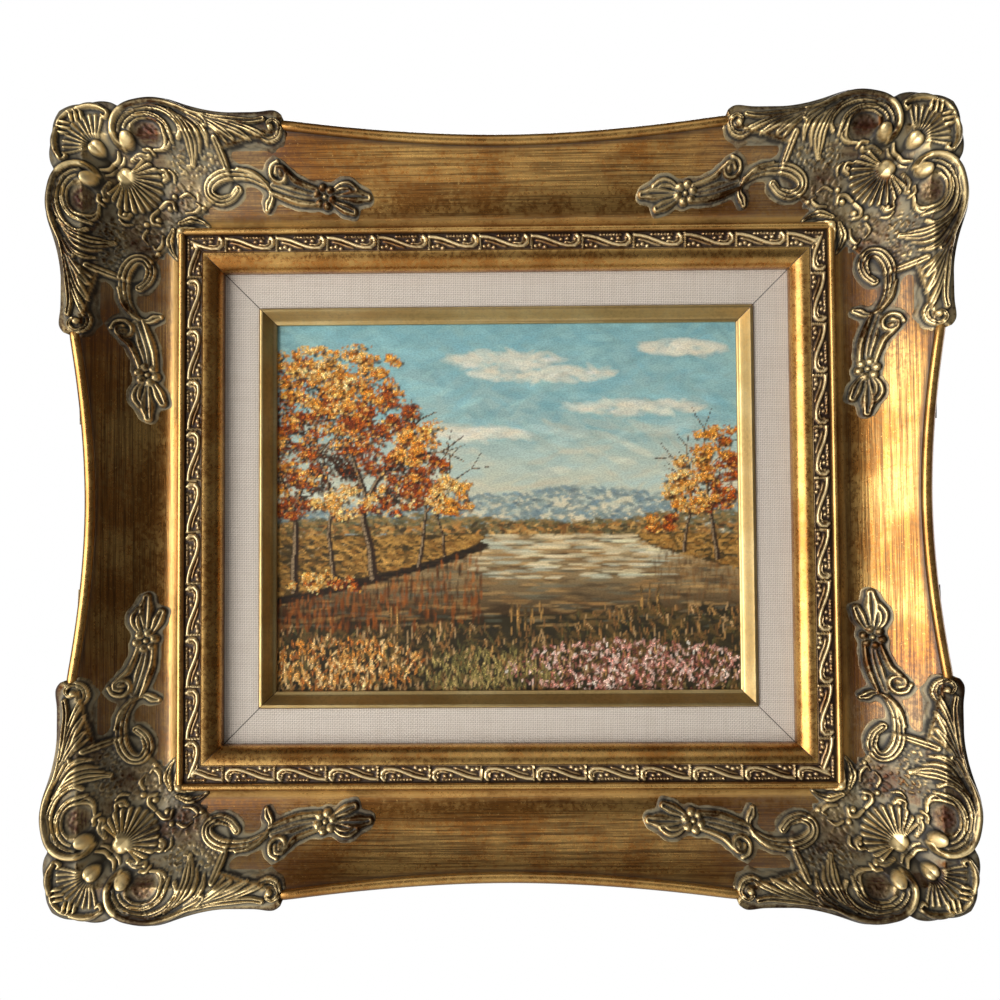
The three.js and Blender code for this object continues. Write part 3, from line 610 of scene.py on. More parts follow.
def ornament_edge(s):
    """The ornament's outer edge, out from the sight edge, at s along the rail."""
    bump = lambda t: np.exp(-t * t)
    edge = 77.3 + 5 * smoothstep(-10, 26, s) + 3.2 * bump((s - 29) / 13) + 1.6 * bump((s - 57) / 7)
    round_off = 3.6 * np.clip((s - 69) / 10, 0, 2) ** 2
    return edge + 0.9 * bump((s + 31) / 5) - 1.6 * bump((s - 47.5) / 3) - round_off


# %% [markdown]
# The grid's lines run along the rail and end on the mitre, as the rail's own lines do, so
# the ornament's outer edge is a line of the grid and comes out clean. Below it a skirt
# goes down and slightly in, and one flat face closes the bottom.

# %% Build one ornament and place it four times
ALONG, ACROSS, INNER, TIP = 300, 120, 18.9, -83.0


def half_grid():
    """(a, b) of the half beside the top rail. Its lines fan out from a point, line t being
    a = TIP + t (b - TIP), from the tip at t = 0 to the mitre at t = 1. Across them b is
    the same on every line up to 69, and only the rest stretches to the edge, which stays
    inside the rail where the ornament has ended."""
    s = np.linspace(TIP, 82, 4000)
    inside = rail_width(sight_up + s, sight_up) - 2.4
    tip = np.clip((s + 38.2) / 6.5, 0, 1)
    edge = inside + (ornament_edge(s) - 0.3 - inside) * np.sqrt(1 - (1 - tip) ** 2)
    line = np.maximum.accumulate((s - TIP) / (edge - TIP))
    t = np.linspace(0, 1, ALONG + 1)
    t = t - 0.02 * np.sin(2 * np.pi * t)
    edge = np.interp(t, line, edge)[:, None]
    v = np.linspace(0, 1, ACROSS)[None, :]
    split = 0.77
    b = np.where(v < split, INNER + v / split * (69 - INNER), 69 + (v - split) / (1 - split) * (edge - 69))
    a = TIP + t[:, None] * (b - TIP)
    return a, b


half_a, half_b = half_grid()
nudges = ((0.07, 0.19), (-0.19, 0.07), (-0.07, -0.19), (0.19, -0.07))  # a mean of four places near each point keeps slanting edges smooth
half_d, half_plate, half_dots, half_standing, half_dish = np.mean([casting_level(half_a + p, half_b + q) for p, q in nudges], axis=0)
lip_share = smoothstep(1.0, 0.985, np.linspace(0, 1, ACROSS))[None, :]
outside = smoothstep(-38.6, -36, half_a[:, -1:])
half_d = half_d - 1.6 * (1 - lip_share) * outside


def blurred(level, passes):
    """Each value replaced by the mean of itself and its neighbours, again and again."""
    for _ in range(passes):
        padded = np.pad(level, 1, mode="edge")
        level = (padded[:-2, 1:-1] + padded[2:, 1:-1] + padded[1:-1, :-2] + padded[1:-1, 2:] + 2 * level) / 6
    return level


around = blurred(half_standing, 40)
around = around * (1 + 0.35 * np.sin(0.5 * half_a + 1.3 * np.sin(0.37 * half_b)) * np.sin(0.6 * half_b + 0.2 * half_a))
halo = smoothstep(0.06, 0.17, around) * smoothstep(0.5, 0.1, half_plate)
half_d = np.maximum(half_d, half_d + 0.72 * halo * (1 - np.clip(half_standing, 0, 1)))  # putty squeezed out round the spray
near, mid, wide = blurred(half_d, 5), blurred(half_d, 16), blurred(half_d, 40)
# knob marks the three bosses, which are painted bright all over as a broad highlight.
knob = np.zeros(half_a.shape)
for (ca, cb), radius in (((43.9, 63.4), 4.2), ((60.2, 60.2), 4.2), ((48.2, 48.2), 4.8)):
    knob = np.maximum(knob, smoothstep(radius, 0.6 * radius, np.hypot(half_a - ca, half_b - cb)))
from_edge = (1 - np.linspace(0, 1, ACROSS)[None, :]) * (half_b[:, -1:] - INNER) + 40 * (1 - outside)
# crest brightens the tops of the strokes and the bosses: painted highlights. groove darkens the recesses beside the
# strokes, as painted shade over dark patina, and darkens the band along the outer edge.
half_fields = {
    "crest": np.maximum(knob, smoothstep(0.36, 0.9, half_d - 0.5 * (near + mid)) * smoothstep(0.3, 0.8, half_standing) * smoothstep(1.5, 4.5, from_edge)),
    "groove": np.maximum(np.maximum(smoothstep(0.03, 0.3, near - half_d), 0.9 * smoothstep(0.15, 0.7, mid - half_d)), 0.8 * smoothstep(4.6, 0.8, from_edge)),
    "hollow": np.maximum(smoothstep(0.2, -0.35, half_d - wide), smoothstep(0.10, 0.34, around) * halo * (1 - half_standing)),
    "clay": np.clip(half_dish * 1.4 + 0.75 * smoothstep(13, 6, np.hypot(half_a - 17, half_b - 40)), 0, 1),
    "plate": half_plate,
}
print("corner ornament reaches", round(float(half_d.max()), 2), "mm off the wall")


def build_corner(name, flip, spin):
    """One corner: the half grid and its mirror image joined at the mitre, given a skirt,
    then turned to its place."""
    join = lambda one, two: np.vstack([one, two[::-1][1:]])
    a, b, d = join(half_a, half_b), join(half_b, half_a), join(half_d, half_d)
    fields = {key: join(value, value) for key, value in half_fields.items()}
    lean_a, lean_b = np.gradient(a[:, -1]), np.gradient(b[:, -1])
    size = np.hypot(lean_a, lean_b) + 1e-9
    normal_a, normal_b = -lean_b / size, lean_a / size
    sign = np.sign(normal_b[len(normal_b) // 4])
    normal_a, normal_b = sign * normal_a, sign * normal_b
    skirt = [(0.25, 1.6), (0.55, 3.4), (1.0, 6), (1.7, 10), (2.6, 17), (3.4, 24), (4.0, 29)]
    for inset, drop in skirt:
        a = np.hstack([a, (a[:, ACROSS - 1] - inset * normal_a)[:, None]])
        b = np.hstack([b, (b[:, ACROSS - 1] - inset * normal_b)[:, None]])
        low = np.maximum(27.0, d[:, ACROSS - 1] - drop)[:, None]
        d = np.hstack([d, low])
    a, b = np.hstack([a, a[:, :1]]), np.hstack([b, b[:, :1]])
    d = np.hstack([d, np.full((len(a), 1), 27.0)])
    rows, columns = a.shape
    extra = columns - ACROSS
    for key in fields:
        # The skirt's groove value of 0.25 darkens it a little: painted shade.
        fill = 0.25 if key == "groove" else 0.0
        fields[key] = np.hstack([fields[key], np.full((rows, extra), fill)])
    if flip:
        a = -a
    x, up = (sight_x + a, sight_up + b) if not flip else (-sight_x + a, sight_up + b)
    if spin:
        x, up = -x, -up
    piece = make_piece("corner_ornament_" + name, scene_points(x, up, d), bar_faces(rows, columns, turned=not flip), fields, None, 85)
    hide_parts("corner_" + name)
    return piece


corners = [
    build_corner("top_right", False, False),
    build_corner("top_left", True, False),
    build_corner("bottom_left", False, True),
    build_corner("bottom_right", True, True),
]
print("triangles in a corner:", triangles(corners[0]))

# %% [markdown]
# ## Liner, slip and canvas
#
# The liner is a wooden frame with linen glued over it, and the slip is a narrow gilt
# moulding. Both are four mitred bars with slightly rounded edges, so a section is carried
# along each side once more.

# %% Mitred bars
LINER = [(8.3, 16.2), (30.6, 16.2), (30.6, 24.9), (30.45, 25.12), (30.1, 25.2), (24, 25.2), (18, 25.2), (12, 25.2), (9.2, 25.2), (8.6, 25.02), (8.3, 24.5)]
SLIP = [(0, 18.8), (8, 18.8), (8, 26.2), (7.8, 26.5), (7.4, 26.6), (6.9, 26.6), (6.45, 26.55), (6.1, 26.2), (4.6, 24.4), (3.2, 22.75), (2.1, 21.5), (1.6, 21.04), (1.1, 20.9), (0.5, 20.72), (0.12, 20.5), (0, 20.2)]


def build_bar(name, side, section, open_x, open_up, gap, step):
    """A closed section of (n, d) points carried along one side, its ends cut at 45 degrees."""
    n, d = (np.array(v, float)[None, :] for v in zip(*section))
    half = open_x if side in ("top", "bottom") else open_up
    rows = int(2 * half / step)
    t = np.linspace(-1, 1, rows)[:, None]
    x = t * (half + n - gap)
    n, d = n + 0 * t, d + 0 * t
    px, up = lay_on_side(side, x, n, open_x, open_up)
    faces = bar_faces(*n.shape)
    values = {"mitre": half + n - np.abs(x), "bare": 1.0 * (d < min(p[1] for p in section) + 0.1)}
    piece = make_piece(name + "_" + side, scene_points(px, up, d), faces, values, np.stack([x, n + d], -1) * 0.001, 30)
    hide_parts(name.split("_")[0] + "_" + side)
    return piece


liners = [build_bar("liner_cloth", side, LINER, paint_x, paint_up, 0.02, 8) for side in SIDES]
slips = [build_bar("slip_moulding", side, SLIP, paint_x, paint_up, 0.02, 4) for side in SIDES]
print("liner and slip bars:", len(liners) + len(slips))

# %% [markdown]
# ## The painting
#
# The picture is a plain autumn landscape of the kind such frames carry: a pale turquoise
# sky, far hills, a lake, a stand of trees in autumn leaf and rough grass in front. It is
# painted the way a painter would, from the back to the front, with thousands of short
# dabs. Each dab mixes its colour into a small window of an array, and the array becomes
# a colour on the canvas's own points.

# %% Brush and palette
STEP = 0.8  # millimetres between points of the canvas
cols, rows = int(254 / STEP) + 1, int(203.2 / STEP) + 1
paint = np.zeros((rows, cols, 3))  # row 0 is the top edge
body = np.full((rows, cols), 0.2)  # how thick the paint lies
hand = np.random.default_rng(41)


def srgb(red, green, blue):
    """A colour given from 0 to 255 as the linear colour that Blender mixes."""
    c = np.array([red, green, blue], float) / 255
    return np.where(c < 0.04045, c / 12.92, ((c + 0.055) / 1.055) ** 2.4)


def dab(x, y, angle, length, width, colour, cover=0.9, load=0.5):
    """Mixes colour into the window round (x, y), in mm from the top left, with a weight of
    cover times 1 - q^4, where q is the distance over an ellipse at that angle."""
    reach = length + width + 1
    c0, c1 = max(0, int((x - reach) / STEP)), min(cols, int((x + reach) / STEP) + 2)
    r0, r1 = max(0, int((y - reach) / STEP)), min(rows, int((y + reach) / STEP) + 2)
    if c0 >= c1 or r0 >= r1:
        return
    dx = np.arange(c0, c1)[None, :] * STEP - x
    dy = np.arange(r0, r1)[:, None] * STEP - y
    u = (dx * math.cos(angle) + dy * math.sin(angle)) / length
    v = (-dx * math.sin(angle) + dy * math.cos(angle)) / width
    weight = (cover * np.clip(1.25 - (u * u + v * v) ** 2, 0, 1))[..., None]
    paint[r0:r1, c0:c1] += (srgb(*colour) - paint[r0:r1, c0:c1]) * weight
    body[r0:r1, c0:c1] += (load - body[r0:r1, c0:c1]) * weight[..., 0]


def scatter(count, region, angle, length, width, colours, cover=0.85, load=0.5, tilt=0.3):
    """Many dabs: region(u) turns two random numbers into a place, and each dab takes one
    of the colours, a little lighter or darker."""
    for _ in range(count):
        x, y = region(hand.random(2))
        tone = hand.normal(1, 0.07)
        colour = np.clip(np.array(colours[hand.integers(len(colours))]) * tone, 0, 255)
        size = hand.uniform(0.6, 1.3)
        dab(x, y, angle + hand.normal(0, tilt), length * size, width * size, colour, cover, load)


box_of = lambda x0, x1, y0, y1: (lambda u: (x0 + (x1 - x0) * u[0], y0 + (y1 - y0) * u[1]))


def heap(cx, cy, rx, ry):
    """Places in an ellipse, denser towards its middle."""
    return lambda u: (cx + rx * u[0] ** 0.6 * math.cos(6.2832 * u[1]), cy + ry * u[0] ** 0.6 * math.sin(6.2832 * u[1]))


print("canvas has", rows, "by", cols, "points")

# %% Sky, hills and water
def shade_rows(top, bottom, upper, lower):
    """Fills the rows from top to bottom with one colour running into another."""
    r0, r1 = int(top / STEP), min(rows, int(bottom / STEP) + 1)
    share = np.linspace(0, 1, r1 - r0)[:, None, None]
    paint[r0:r1] = srgb(*upper) * (1 - share) + srgb(*lower) * share


shore = 116.0
shade_rows(0, 70, (142, 190, 200), (188, 212, 206))
shade_rows(70, shore, (188, 212, 206), (240, 226, 190))
shade_rows(shore, 160, (208, 186, 142), (84, 66, 42))
shade_rows(160, 203.2, (70, 64, 44), (54, 48, 34))
scatter(1000, box_of(0, 254, 0, 66), 0.1, 8, 2.2, [(148, 196, 204), (160, 204, 208), (138, 188, 200), (170, 208, 206)], 0.3, 0.25, 0.5)
scatter(500, box_of(0, 254, 56, 112), 0.0, 9, 2.0, [(190, 214, 210), (208, 218, 204), (226, 220, 196), (184, 210, 208)], 0.3, 0.25, 0.3)
for cx, cy, rx, ry in ((126, 22, 30, 5), (146, 30, 38, 4), (196, 48, 36, 4), (112, 62, 28, 3), (222, 16, 22, 4)):
    scatter(130, heap(cx, cy, rx, ry), 0.05, 5, 1.5, [(232, 232, 216), (214, 224, 214), (244, 236, 212)], 0.3, 0.5, 0.3)
across = np.arange(cols) * STEP
far_hill = 101 - 10 * np.exp(-(((across - 176) / 40) ** 2)) - 6 * np.exp(-(((across - 118) / 30) ** 2)) + 1.0 * np.sin(across / 9)
near_hill = 110 - 6 * np.exp(-(((across - 232) / 34) ** 2)) - 4 * np.exp(-(((across - 70) / 50) ** 2)) + 0.8 * np.sin(across / 5 + 1)
for line, tints in ((far_hill, [(134, 160, 168), (146, 168, 168), (126, 150, 160), (156, 172, 168)]), (near_hill, [(136, 128, 88), (164, 136, 84), (118, 120, 92), (176, 146, 92), (104, 98, 68)])):
    for x in np.arange(0, 254, 1.1):
        top = float(np.interp(x, across, line))
        scatter(6, box_of(x, x + 1, top, shore), 0.15, 2.6, 0.9, tints, 0.7, 0.35, 0.4)
scatter(420, box_of(0, 254, 111, 116), 0.0, 2.2, 0.8, [(198, 150, 84), (152, 112, 62), (112, 100, 62), (210, 174, 110), (84, 74, 52)], 0.85, 0.5, 0.5)
scatter(900, box_of(0, 254, 117, 166), 0.0, 7, 0.8, [(176, 136, 82), (96, 76, 50), (58, 48, 34), (206, 172, 116), (126, 132, 116)], 0.4, 0.3, 0.04)
scatter(170, box_of(110, 216, 117, 140), 0.0, 7, 0.7, [(232, 222, 186), (244, 232, 196), (196, 204, 186)], 0.6, 0.4, 0.03)
print("sky, hills and water laid in")

# %% Trees, banks and grass
RUST = [(170, 84, 22), (138, 64, 20), (200, 112, 32), (108, 52, 20)]
AMBER = [(214, 140, 40), (234, 172, 70), (188, 110, 32), (246, 204, 124)]
STRAW = [(240, 202, 124), (252, 228, 168), (224, 170, 80), (204, 140, 54)]
DEEP = [(66, 42, 20), (46, 34, 20), (88, 50, 20), (36, 30, 20)]


def branch(x, y, angle, length, width, bark, level):
    """A bent line of short dabs that splits into two thinner ones, level times over."""
    steps = max(3, int(length / 1.2))
    for k in range(steps):
        angle += hand.normal(0, 0.05)
        x, y = x + length / steps * math.cos(angle), y - length / steps * math.sin(angle)
        wide = width * (1 - 0.4 * k / steps)
        dab(x, y, -angle, 1.3, wide, bark[0], 0.9, 0.6)
        dab(x - 0.4 * wide, y, -angle, 1.1, 0.4 * wide, bark[1], 0.6, 0.8)
    if level:
        for bend in (hand.uniform(0.25, 0.6), -hand.uniform(0.25, 0.6)):
            branch(x, y, angle + bend, length * hand.uniform(0.55, 0.75), width * 0.6, bark, level - 1)


def foliage(cx, cy, rx, ry, clumps, tints, size=1.0):
    """Clumps at random in an ellipse. Each is a few dark dabs, then lighter ones, lighter
    still towards the upper left, with gaps left between the clumps."""
    for _ in range(clumps):
        x, y = heap(cx, cy, rx, ry)(hand.random(2))
        spread = hand.uniform(3.0, 6.5) * size
        light = (cx - x) / rx + (cy - y) / ry > hand.normal(0, 0.5)
        scatter(9, heap(x + 0.8, y + 1.2, spread, 0.6 * spread), 0.3, 1.5, 0.9, DEEP, 0.6, 0.4, 1.0)
        scatter(22, heap(x, y, spread, 0.6 * spread), 0.5, 1.05, 0.66, tints[1] if light else tints[0], 0.85, 0.9, 1.0)
        scatter(6, heap(x, y, 1.5 * spread, spread), 0.5, 0.8, 0.6, tints[1], 0.8, 0.8, 1.0)


BARK = [(58, 40, 26), (206, 184, 148)]
left_bank = lambda u: (112 * u[0], 117 + (4 + 30 * (1 - u[0]) ** 0.8) * u[1])
right_bank = lambda u: (200 + 54 * u[0], 117 + (2 + 17 * u[0] ** 0.8) * u[1])
for land, amount in ((left_bank, 1500), (right_bank, 500)):
    scatter(amount, land, 0.1, 3, 0.9, [(92, 78, 42), (116, 92, 48), (74, 64, 38), (142, 112, 58)], 0.85, 0.5, 0.3)
    scatter(amount // 3, land, 0.1, 2.4, 0.7, [(186, 148, 80), (206, 166, 96), (160, 120, 58)], 0.8, 0.7, 0.4)
for x in np.linspace(0, 112, 60):
    y = 117 + 4 + 30 * (1 - x / 112) ** 0.8
    scatter(5, box_of(x, x + 2, y, y + 3), 0.0, 3, 0.8, [(46, 38, 26), (62, 48, 30)], 0.8, 0.4, 0.05)
    scatter(9, box_of(x, x + 2, y + 2, 168), 1.57, 3.2, 0.7, [(150, 84, 28), (92, 56, 26), (186, 112, 44), (54, 38, 22)], 0.45, 0.3, 0.06)
for x in np.linspace(206, 254, 26):
    scatter(6, box_of(x, x + 2, 120 + 0.3 * (x - 200), 152), 1.57, 2.6, 0.7, [(120, 84, 44), (96, 70, 38), (146, 108, 60)], 0.35, 0.3, 0.06)

foliage(20, 60, 30, 40, 40, (DEEP, RUST), 1.3)
foliage(60, 74, 26, 26, 26, (DEEP, RUST), 1.2)
for x, y, lean, length, width in ((12, 148, 1.6, 46, 2.6), (33, 143, 1.5, 40, 1.7), (55, 141, 1.62, 44, 2.9), (79, 134, 1.5, 30, 1.4), (93, 129, 1.64, 22, 1.0)):
    branch(x, y, lean, length, width, BARK, 3)
foliage(14, 48, 26, 36, 62, (RUST, AMBER))
foliage(52, 50, 26, 34, 78, (RUST, AMBER))
foliage(34, 30, 26, 18, 34, (AMBER, STRAW))
foliage(80, 78, 17, 24, 44, (RUST, AMBER), 0.9)
foliage(95, 96, 11, 13, 22, (AMBER, STRAW), 0.8)
foliage(8, 92, 14, 16, 20, (RUST, AMBER))
foliage(50, 100, 30, 10, 26, (RUST, STRAW), 0.8)
for x, y, lean, length, width in ((222, 127, 1.5, 26, 1.2), (240, 131, 1.64, 32, 1.7)):
    branch(x, y, lean, length, width, BARK, 3)
foliage(240, 82, 14, 26, 42, (RUST, AMBER), 0.9)
foliage(223, 92, 12, 17, 26, (AMBER, STRAW), 0.8)
foliage(208, 110, 9, 4, 8, (RUST, AMBER), 0.6)
foliage(30, 140, 28, 6, 12, (RUST, STRAW), 0.7)

bank_line = lambda x: 160 + 7 * math.sin(x / 62 + 0.6) + 2 * math.sin(x / 17)
front = lambda u: (254 * u[0], bank_line(254 * u[0]) + 46 * u[1])
scatter(1500, front, 0.3, 3, 1.1, [(86, 76, 44), (108, 90, 50), (66, 60, 38), (128, 104, 60), (52, 50, 34)], 0.85, 0.5, 0.6)
scatter(1100, front, 1.45, 2.7, 0.5, [(186, 150, 96), (160, 120, 70), (200, 170, 124), (132, 98, 56), (104, 100, 58)], 0.85, 0.8, 0.3)
scatter(900, heap(192, 188, 66, 15), 1.4, 1.5, 0.55, [(216, 164, 150), (236, 200, 186), (176, 112, 98), (248, 226, 214), (132, 84, 72)], 0.9, 1.0, 0.6)
scatter(560, heap(36, 186, 46, 15), 1.5, 1.8, 0.55, [(206, 146, 66), (228, 186, 116), (172, 110, 48), (238, 210, 156)], 0.9, 1.0, 0.5)
scatter(260, heap(116, 190, 40, 12), 1.5, 2.6, 0.5, [(150, 140, 84), (186, 168, 110), (118, 112, 66)], 0.9, 0.9, 0.3)
for x in (128, 132, 135.5, 139, 144, 198, 202.5, 207, 63, 67):
    scatter(10, box_of(x, x + 1.4, bank_line(x) - 9, bank_line(x) + 4), 1.52, 3.2, 0.4, [(150, 116, 66), (186, 150, 92), (104, 86, 50)], 0.9, 0.8, 0.1)
paint = np.clip(paint / 0.35, 0, None) ** 1.2 * 0.35 * (0.86, 0.80, 0.75)  # varnish deepens the darks and yellows the whole
print("mean colour of the painting:", np.round(paint.mean((0, 1)), 3))

# %% [markdown]
# The canvas is one sheet: the front, its turned edges and the margin behind the bars. Its
# back face is bare cloth. The points of the front carry the paint.


# %% Build the canvas
def build_canvas():
    """The front is a grid. Loops of its border are carried over the edge, down the side
    and in behind the stretcher, then back inside to give the cloth its thickness."""
    gx, gy = np.meshgrid(np.linspace(-126.5, 126.5, cols), np.linspace(101.1, -101.1, rows))
    front = np.arange(rows * cols).reshape(rows, cols)
    border = np.concatenate([front[0, :-1], front[:-1, -1], front[-1, :0:-1], front[:0:-1, 0]])
    flat_x, flat_up = gx.ravel(), gy.ravel()
    bx, bup = flat_x[border], flat_up[border]
    loops = [(0.35, 18.3), (0.5, 17.9), (0.5, 3.4), (0.25, 2.85), (-0.5, 2.62), (-13.4, 2.62), (-13.4, 3.12), (-0.3, 3.3), (-0.3, 17.75)]
    px, pup, pd = [flat_x], [flat_up], [np.full(rows * cols, 18.45)]
    rings = [border]
    for out, d in loops:
        px.append(bx * (126.5 + out) / 126.5)
        pup.append(bup * (101.1 + out) / 101.1)
        pd.append(np.full(len(border), d))
        rings.append(rings[-1] * 0 + rows * cols + (len(rings) - 1) * len(border) + np.arange(len(border)))
    px, pup, pd = map(np.concatenate, (px, pup, pd))
    faces = [grid_faces(rows, cols)]
    for one, two in zip(rings[:-1], rings[1:]):
        faces.append(np.stack([one, two, np.roll(two, -1), np.roll(one, -1)], -1))
    faces.append(rings[-1][None, :])
    faces = [f[:, ::-1] for f in faces[:1]] + faces[1:]
    piece = make_piece("canvas_cloth", scene_points(px, pup, pd), faces, None, np.stack([px, pup], -1) * 0.001, 50)
    colour = piece.data.attributes.new("paint", "FLOAT_COLOR", "POINT")
    values = np.tile([0.42, 0.36, 0.27, 0.0], (len(px), 1))
    values[: rows * cols] = np.concatenate([paint, body[..., None]], -1).reshape(-1, 4)
    colour.data.foreach_set("color", values.astype(np.float32).ravel())
    mesh = bmesh.new()
    mesh.from_mesh(piece.data)
    bmesh.ops.recalc_face_normals(mesh, faces=mesh.faces)
    mesh.to_mesh(piece.data)
    mesh.free()
    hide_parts("canvas")
    return piece


canvas = build_canvas()
print("canvas triangles:", triangles(canvas))

# %% [markdown]
# ## Finishes
#
# A finish is a small graph of nodes. The next cell has two helpers: one adds a node and
# wires its inputs in order, the other opens a node group with named inputs and outputs.


# %% Node helpers
def put(tree, kind, *inputs, out=0, **settings):
    """Adds a node, applies its settings, wires or sets its inputs in order, and gives back
    one of its outputs."""
    node = tree.nodes.new("ShaderNode" + kind)
    for key, value in settings.items():
        setattr(node, key, value)
    for socket, value in zip(node.inputs, inputs):
        if isinstance(value, bpy.types.NodeSocket):
            tree.links.new(value, socket)
        elif value is not None:
            socket.default_value = value
    return node.outputs[out]


def mix(tree, share, one, two):
    """One colour turning into another as share goes from 0 to 1."""
    return put(tree, "Mix", share, None, None, None, None, None, one, two, out=2, data_type="RGBA")


def calc(tree, operation, one, two=None, clamp=False):
    return put(tree, "Math", one, two, operation=operation, use_clamp=clamp)


def ease(tree, value, low, high, start=0.0, end=1.0):
    """start below low, end above high, with a smooth step between."""
    return put(tree, "MapRange", value, low, high, start, end, interpolation_type="SMOOTHSTEP")


def stretched(tree, vector, scale):
    return put(tree, "VectorMath", vector, scale, operation="MULTIPLY")


def noise(tree, vector, scale, detail=2.0, rough=0.55, warp=0.0):
    return put(tree, "TexNoise", vector, None, scale, detail, rough, None, None, warp)


def open_group(name, inputs, outputs):
    """A shader node group with its sockets, as (tree, inputs by name, outputs by name)."""
    tree = bpy.data.node_groups.new(name, "ShaderNodeTree")
    for label, kind, value in inputs:
        socket = tree.interface.new_socket(label, in_out="INPUT", socket_type="NodeSocket" + kind)
        if value is not None:
            socket.default_value = value
    for label, kind in outputs:
        tree.interface.new_socket(label, in_out="OUTPUT", socket_type="NodeSocket" + kind)
    inside, outside = tree.nodes.new("NodeGroupInput"), tree.nodes.new("NodeGroupOutput")
    return tree, inside.outputs, outside.inputs


def use_group(material_tree, group, **values):
    """Places a group in a material. Names have _ for a space."""
    node = material_tree.nodes.new("ShaderNodeGroup")
    node.node_tree = group
    for key, value in values.items():
        socket = node.inputs[key.replace("_", " ")]
        if isinstance(value, bpy.types.NodeSocket):
            material_tree.links.new(value, socket)
        else:
            socket.default_value = value
    return node.outputs


def new_material(name):
    material = bpy.data.materials.new(name)
    material.use_nodes = True
    return material, material.node_tree, material.node_tree.nodes["Principled BSDF"]


def wire(tree, shader, colour=None, rough=None, metal=None, height=None, depth=0.0002):
    """Feeds the shader, and turns a height of 0 to 1 into a bump depth metres deep."""
    for key, value in (("Base Color", colour), ("Roughness", rough), ("Metallic", metal)):
        if isinstance(value, bpy.types.NodeSocket):
            tree.links.new(value, shader.inputs[key])
        elif value is not None:
            shader.inputs[key].default_value = value
    if height is not None:
        bump = tree.nodes.new("ShaderNodeBump")
        bump.inputs["Strength"].default_value = 1.0
        bump.inputs["Distance"].default_value = depth
        tree.links.new(height, bump.inputs["Height"])
        tree.links.new(bump.outputs["Normal"], shader.inputs["Normal"])


tone = lambda r, g, b: (*srgb(r, g, b).tolist(), 1.0)
print("the gold leaf's colour, linear:", [round(v, 3) for v in tone(206, 160, 84)])

# %% [markdown]
# ### Old gilding
#
# Gilding of this kind is leaf or bronze over a red clay called bole. It is rubbed back
# so that the bole shows in streaks, toned with a brown glaze, and a grey-green wash is
# left in the hollows of the ornament. The group takes how hollow or raised a point is and
# how much bole shows there. Crests are painted bright as highlights, partly rubbed gold,
# and grooves dark as painted shade in the glaze's colour. Three finishes share it: the
# rails, the castings and the slip.

# %% Gilding group
gilding, given, result = open_group(
    "old_gilding",
    [("Place", "Vector", None), ("Lay", "Vector", None)]
    + [(label, "Float", 0.0) for label in ("Streaks", "Crest", "Groove", "Wash Share", "Clay Share", "Mitre")]
    + [("Polish", "Float", 0.26)]
    + [("Gold", "Color", tone(190, 140, 62)), ("Bright", "Color", tone(240, 208, 134)), ("Glaze", "Color", tone(62, 36, 12)), ("Clay", "Color", tone(146, 70, 38)), ("Wash", "Color", tone(118, 112, 88))],
    [("Color", "Color"), ("Metal", "Float"), ("Roughness", "Float"), ("Height", "Float")],
)
blotch = noise(gilding, given["Place"], 30.0, 3.0, 0.6)
fine = noise(gilding, given["Place"], 480.0, 3.0, 0.62)
long_streak = noise(gilding, stretched(gilding, given["Lay"], (20, 1200, 1)), 1.0, 3.0, 0.6)
short_streak = noise(gilding, stretched(gilding, given["Lay"], (60, 2600, 1)), 1.0, 2.0, 0.6)
broad_streak = noise(gilding, stretched(gilding, given["Lay"], (11, 460, 1)), 1.0, 2.0, 0.5)
streak = calc(gilding, "ADD", calc(gilding, "MULTIPLY", long_streak, 0.45), calc(gilding, "MULTIPLY", short_streak, 0.25))
streak = ease(gilding, calc(gilding, "ADD", streak, calc(gilding, "MULTIPLY", broad_streak, 0.3)), 0.43, 0.60)
streak = calc(gilding, "MULTIPLY", streak, given["Streaks"])
speck = ease(gilding, fine, 0.42, 0.66)
patches = calc(gilding, "ADD", blotch, calc(gilding, "MULTIPLY", fine, 0.6))
colour = mix(gilding, ease(gilding, patches, 0.66, 1.0, 0.0, 0.7), given["Gold"], given["Bright"])
colour = mix(gilding, calc(gilding, "MULTIPLY", speck, 0.25), colour, given["Glaze"])
colour = mix(gilding, streak, colour, given["Glaze"])
fleck = noise(gilding, given["Place"], 760.0, 2.0, 0.7, 1.2)
colour = mix(gilding, calc(gilding, "MULTIPLY", ease(gilding, fleck, 0.64, 0.72, 0.0, 0.7), given["Streaks"]), colour, given["Bright"])
clay = calc(gilding, "MULTIPLY", given["Clay Share"], ease(gilding, calc(gilding, "ADD", calc(gilding, "MULTIPLY", fine, 0.5), calc(gilding, "MULTIPLY", long_streak, 0.5)), 0.36, 0.62, 0.15, 1.0), clamp=True)
colour = mix(gilding, clay, colour, given["Clay"])
wash = calc(gilding, "MULTIPLY", given["Wash Share"], ease(gilding, patches, 0.5, 0.95, 0.45, 1.0), clamp=True)
colour = mix(gilding, wash, colour, given["Wash"])
# Grooves are darkened towards the glaze colour as painted shade; the mitre joint is darkened as a dark joint.
groove_shade_and_joint = calc(gilding, "MAXIMUM", given["Groove"], ease(gilding, given["Mitre"], 0.0, 1.0))
colour = mix(gilding, calc(gilding, "MULTIPLY", groove_shade_and_joint, 0.92), colour, given["Glaze"])
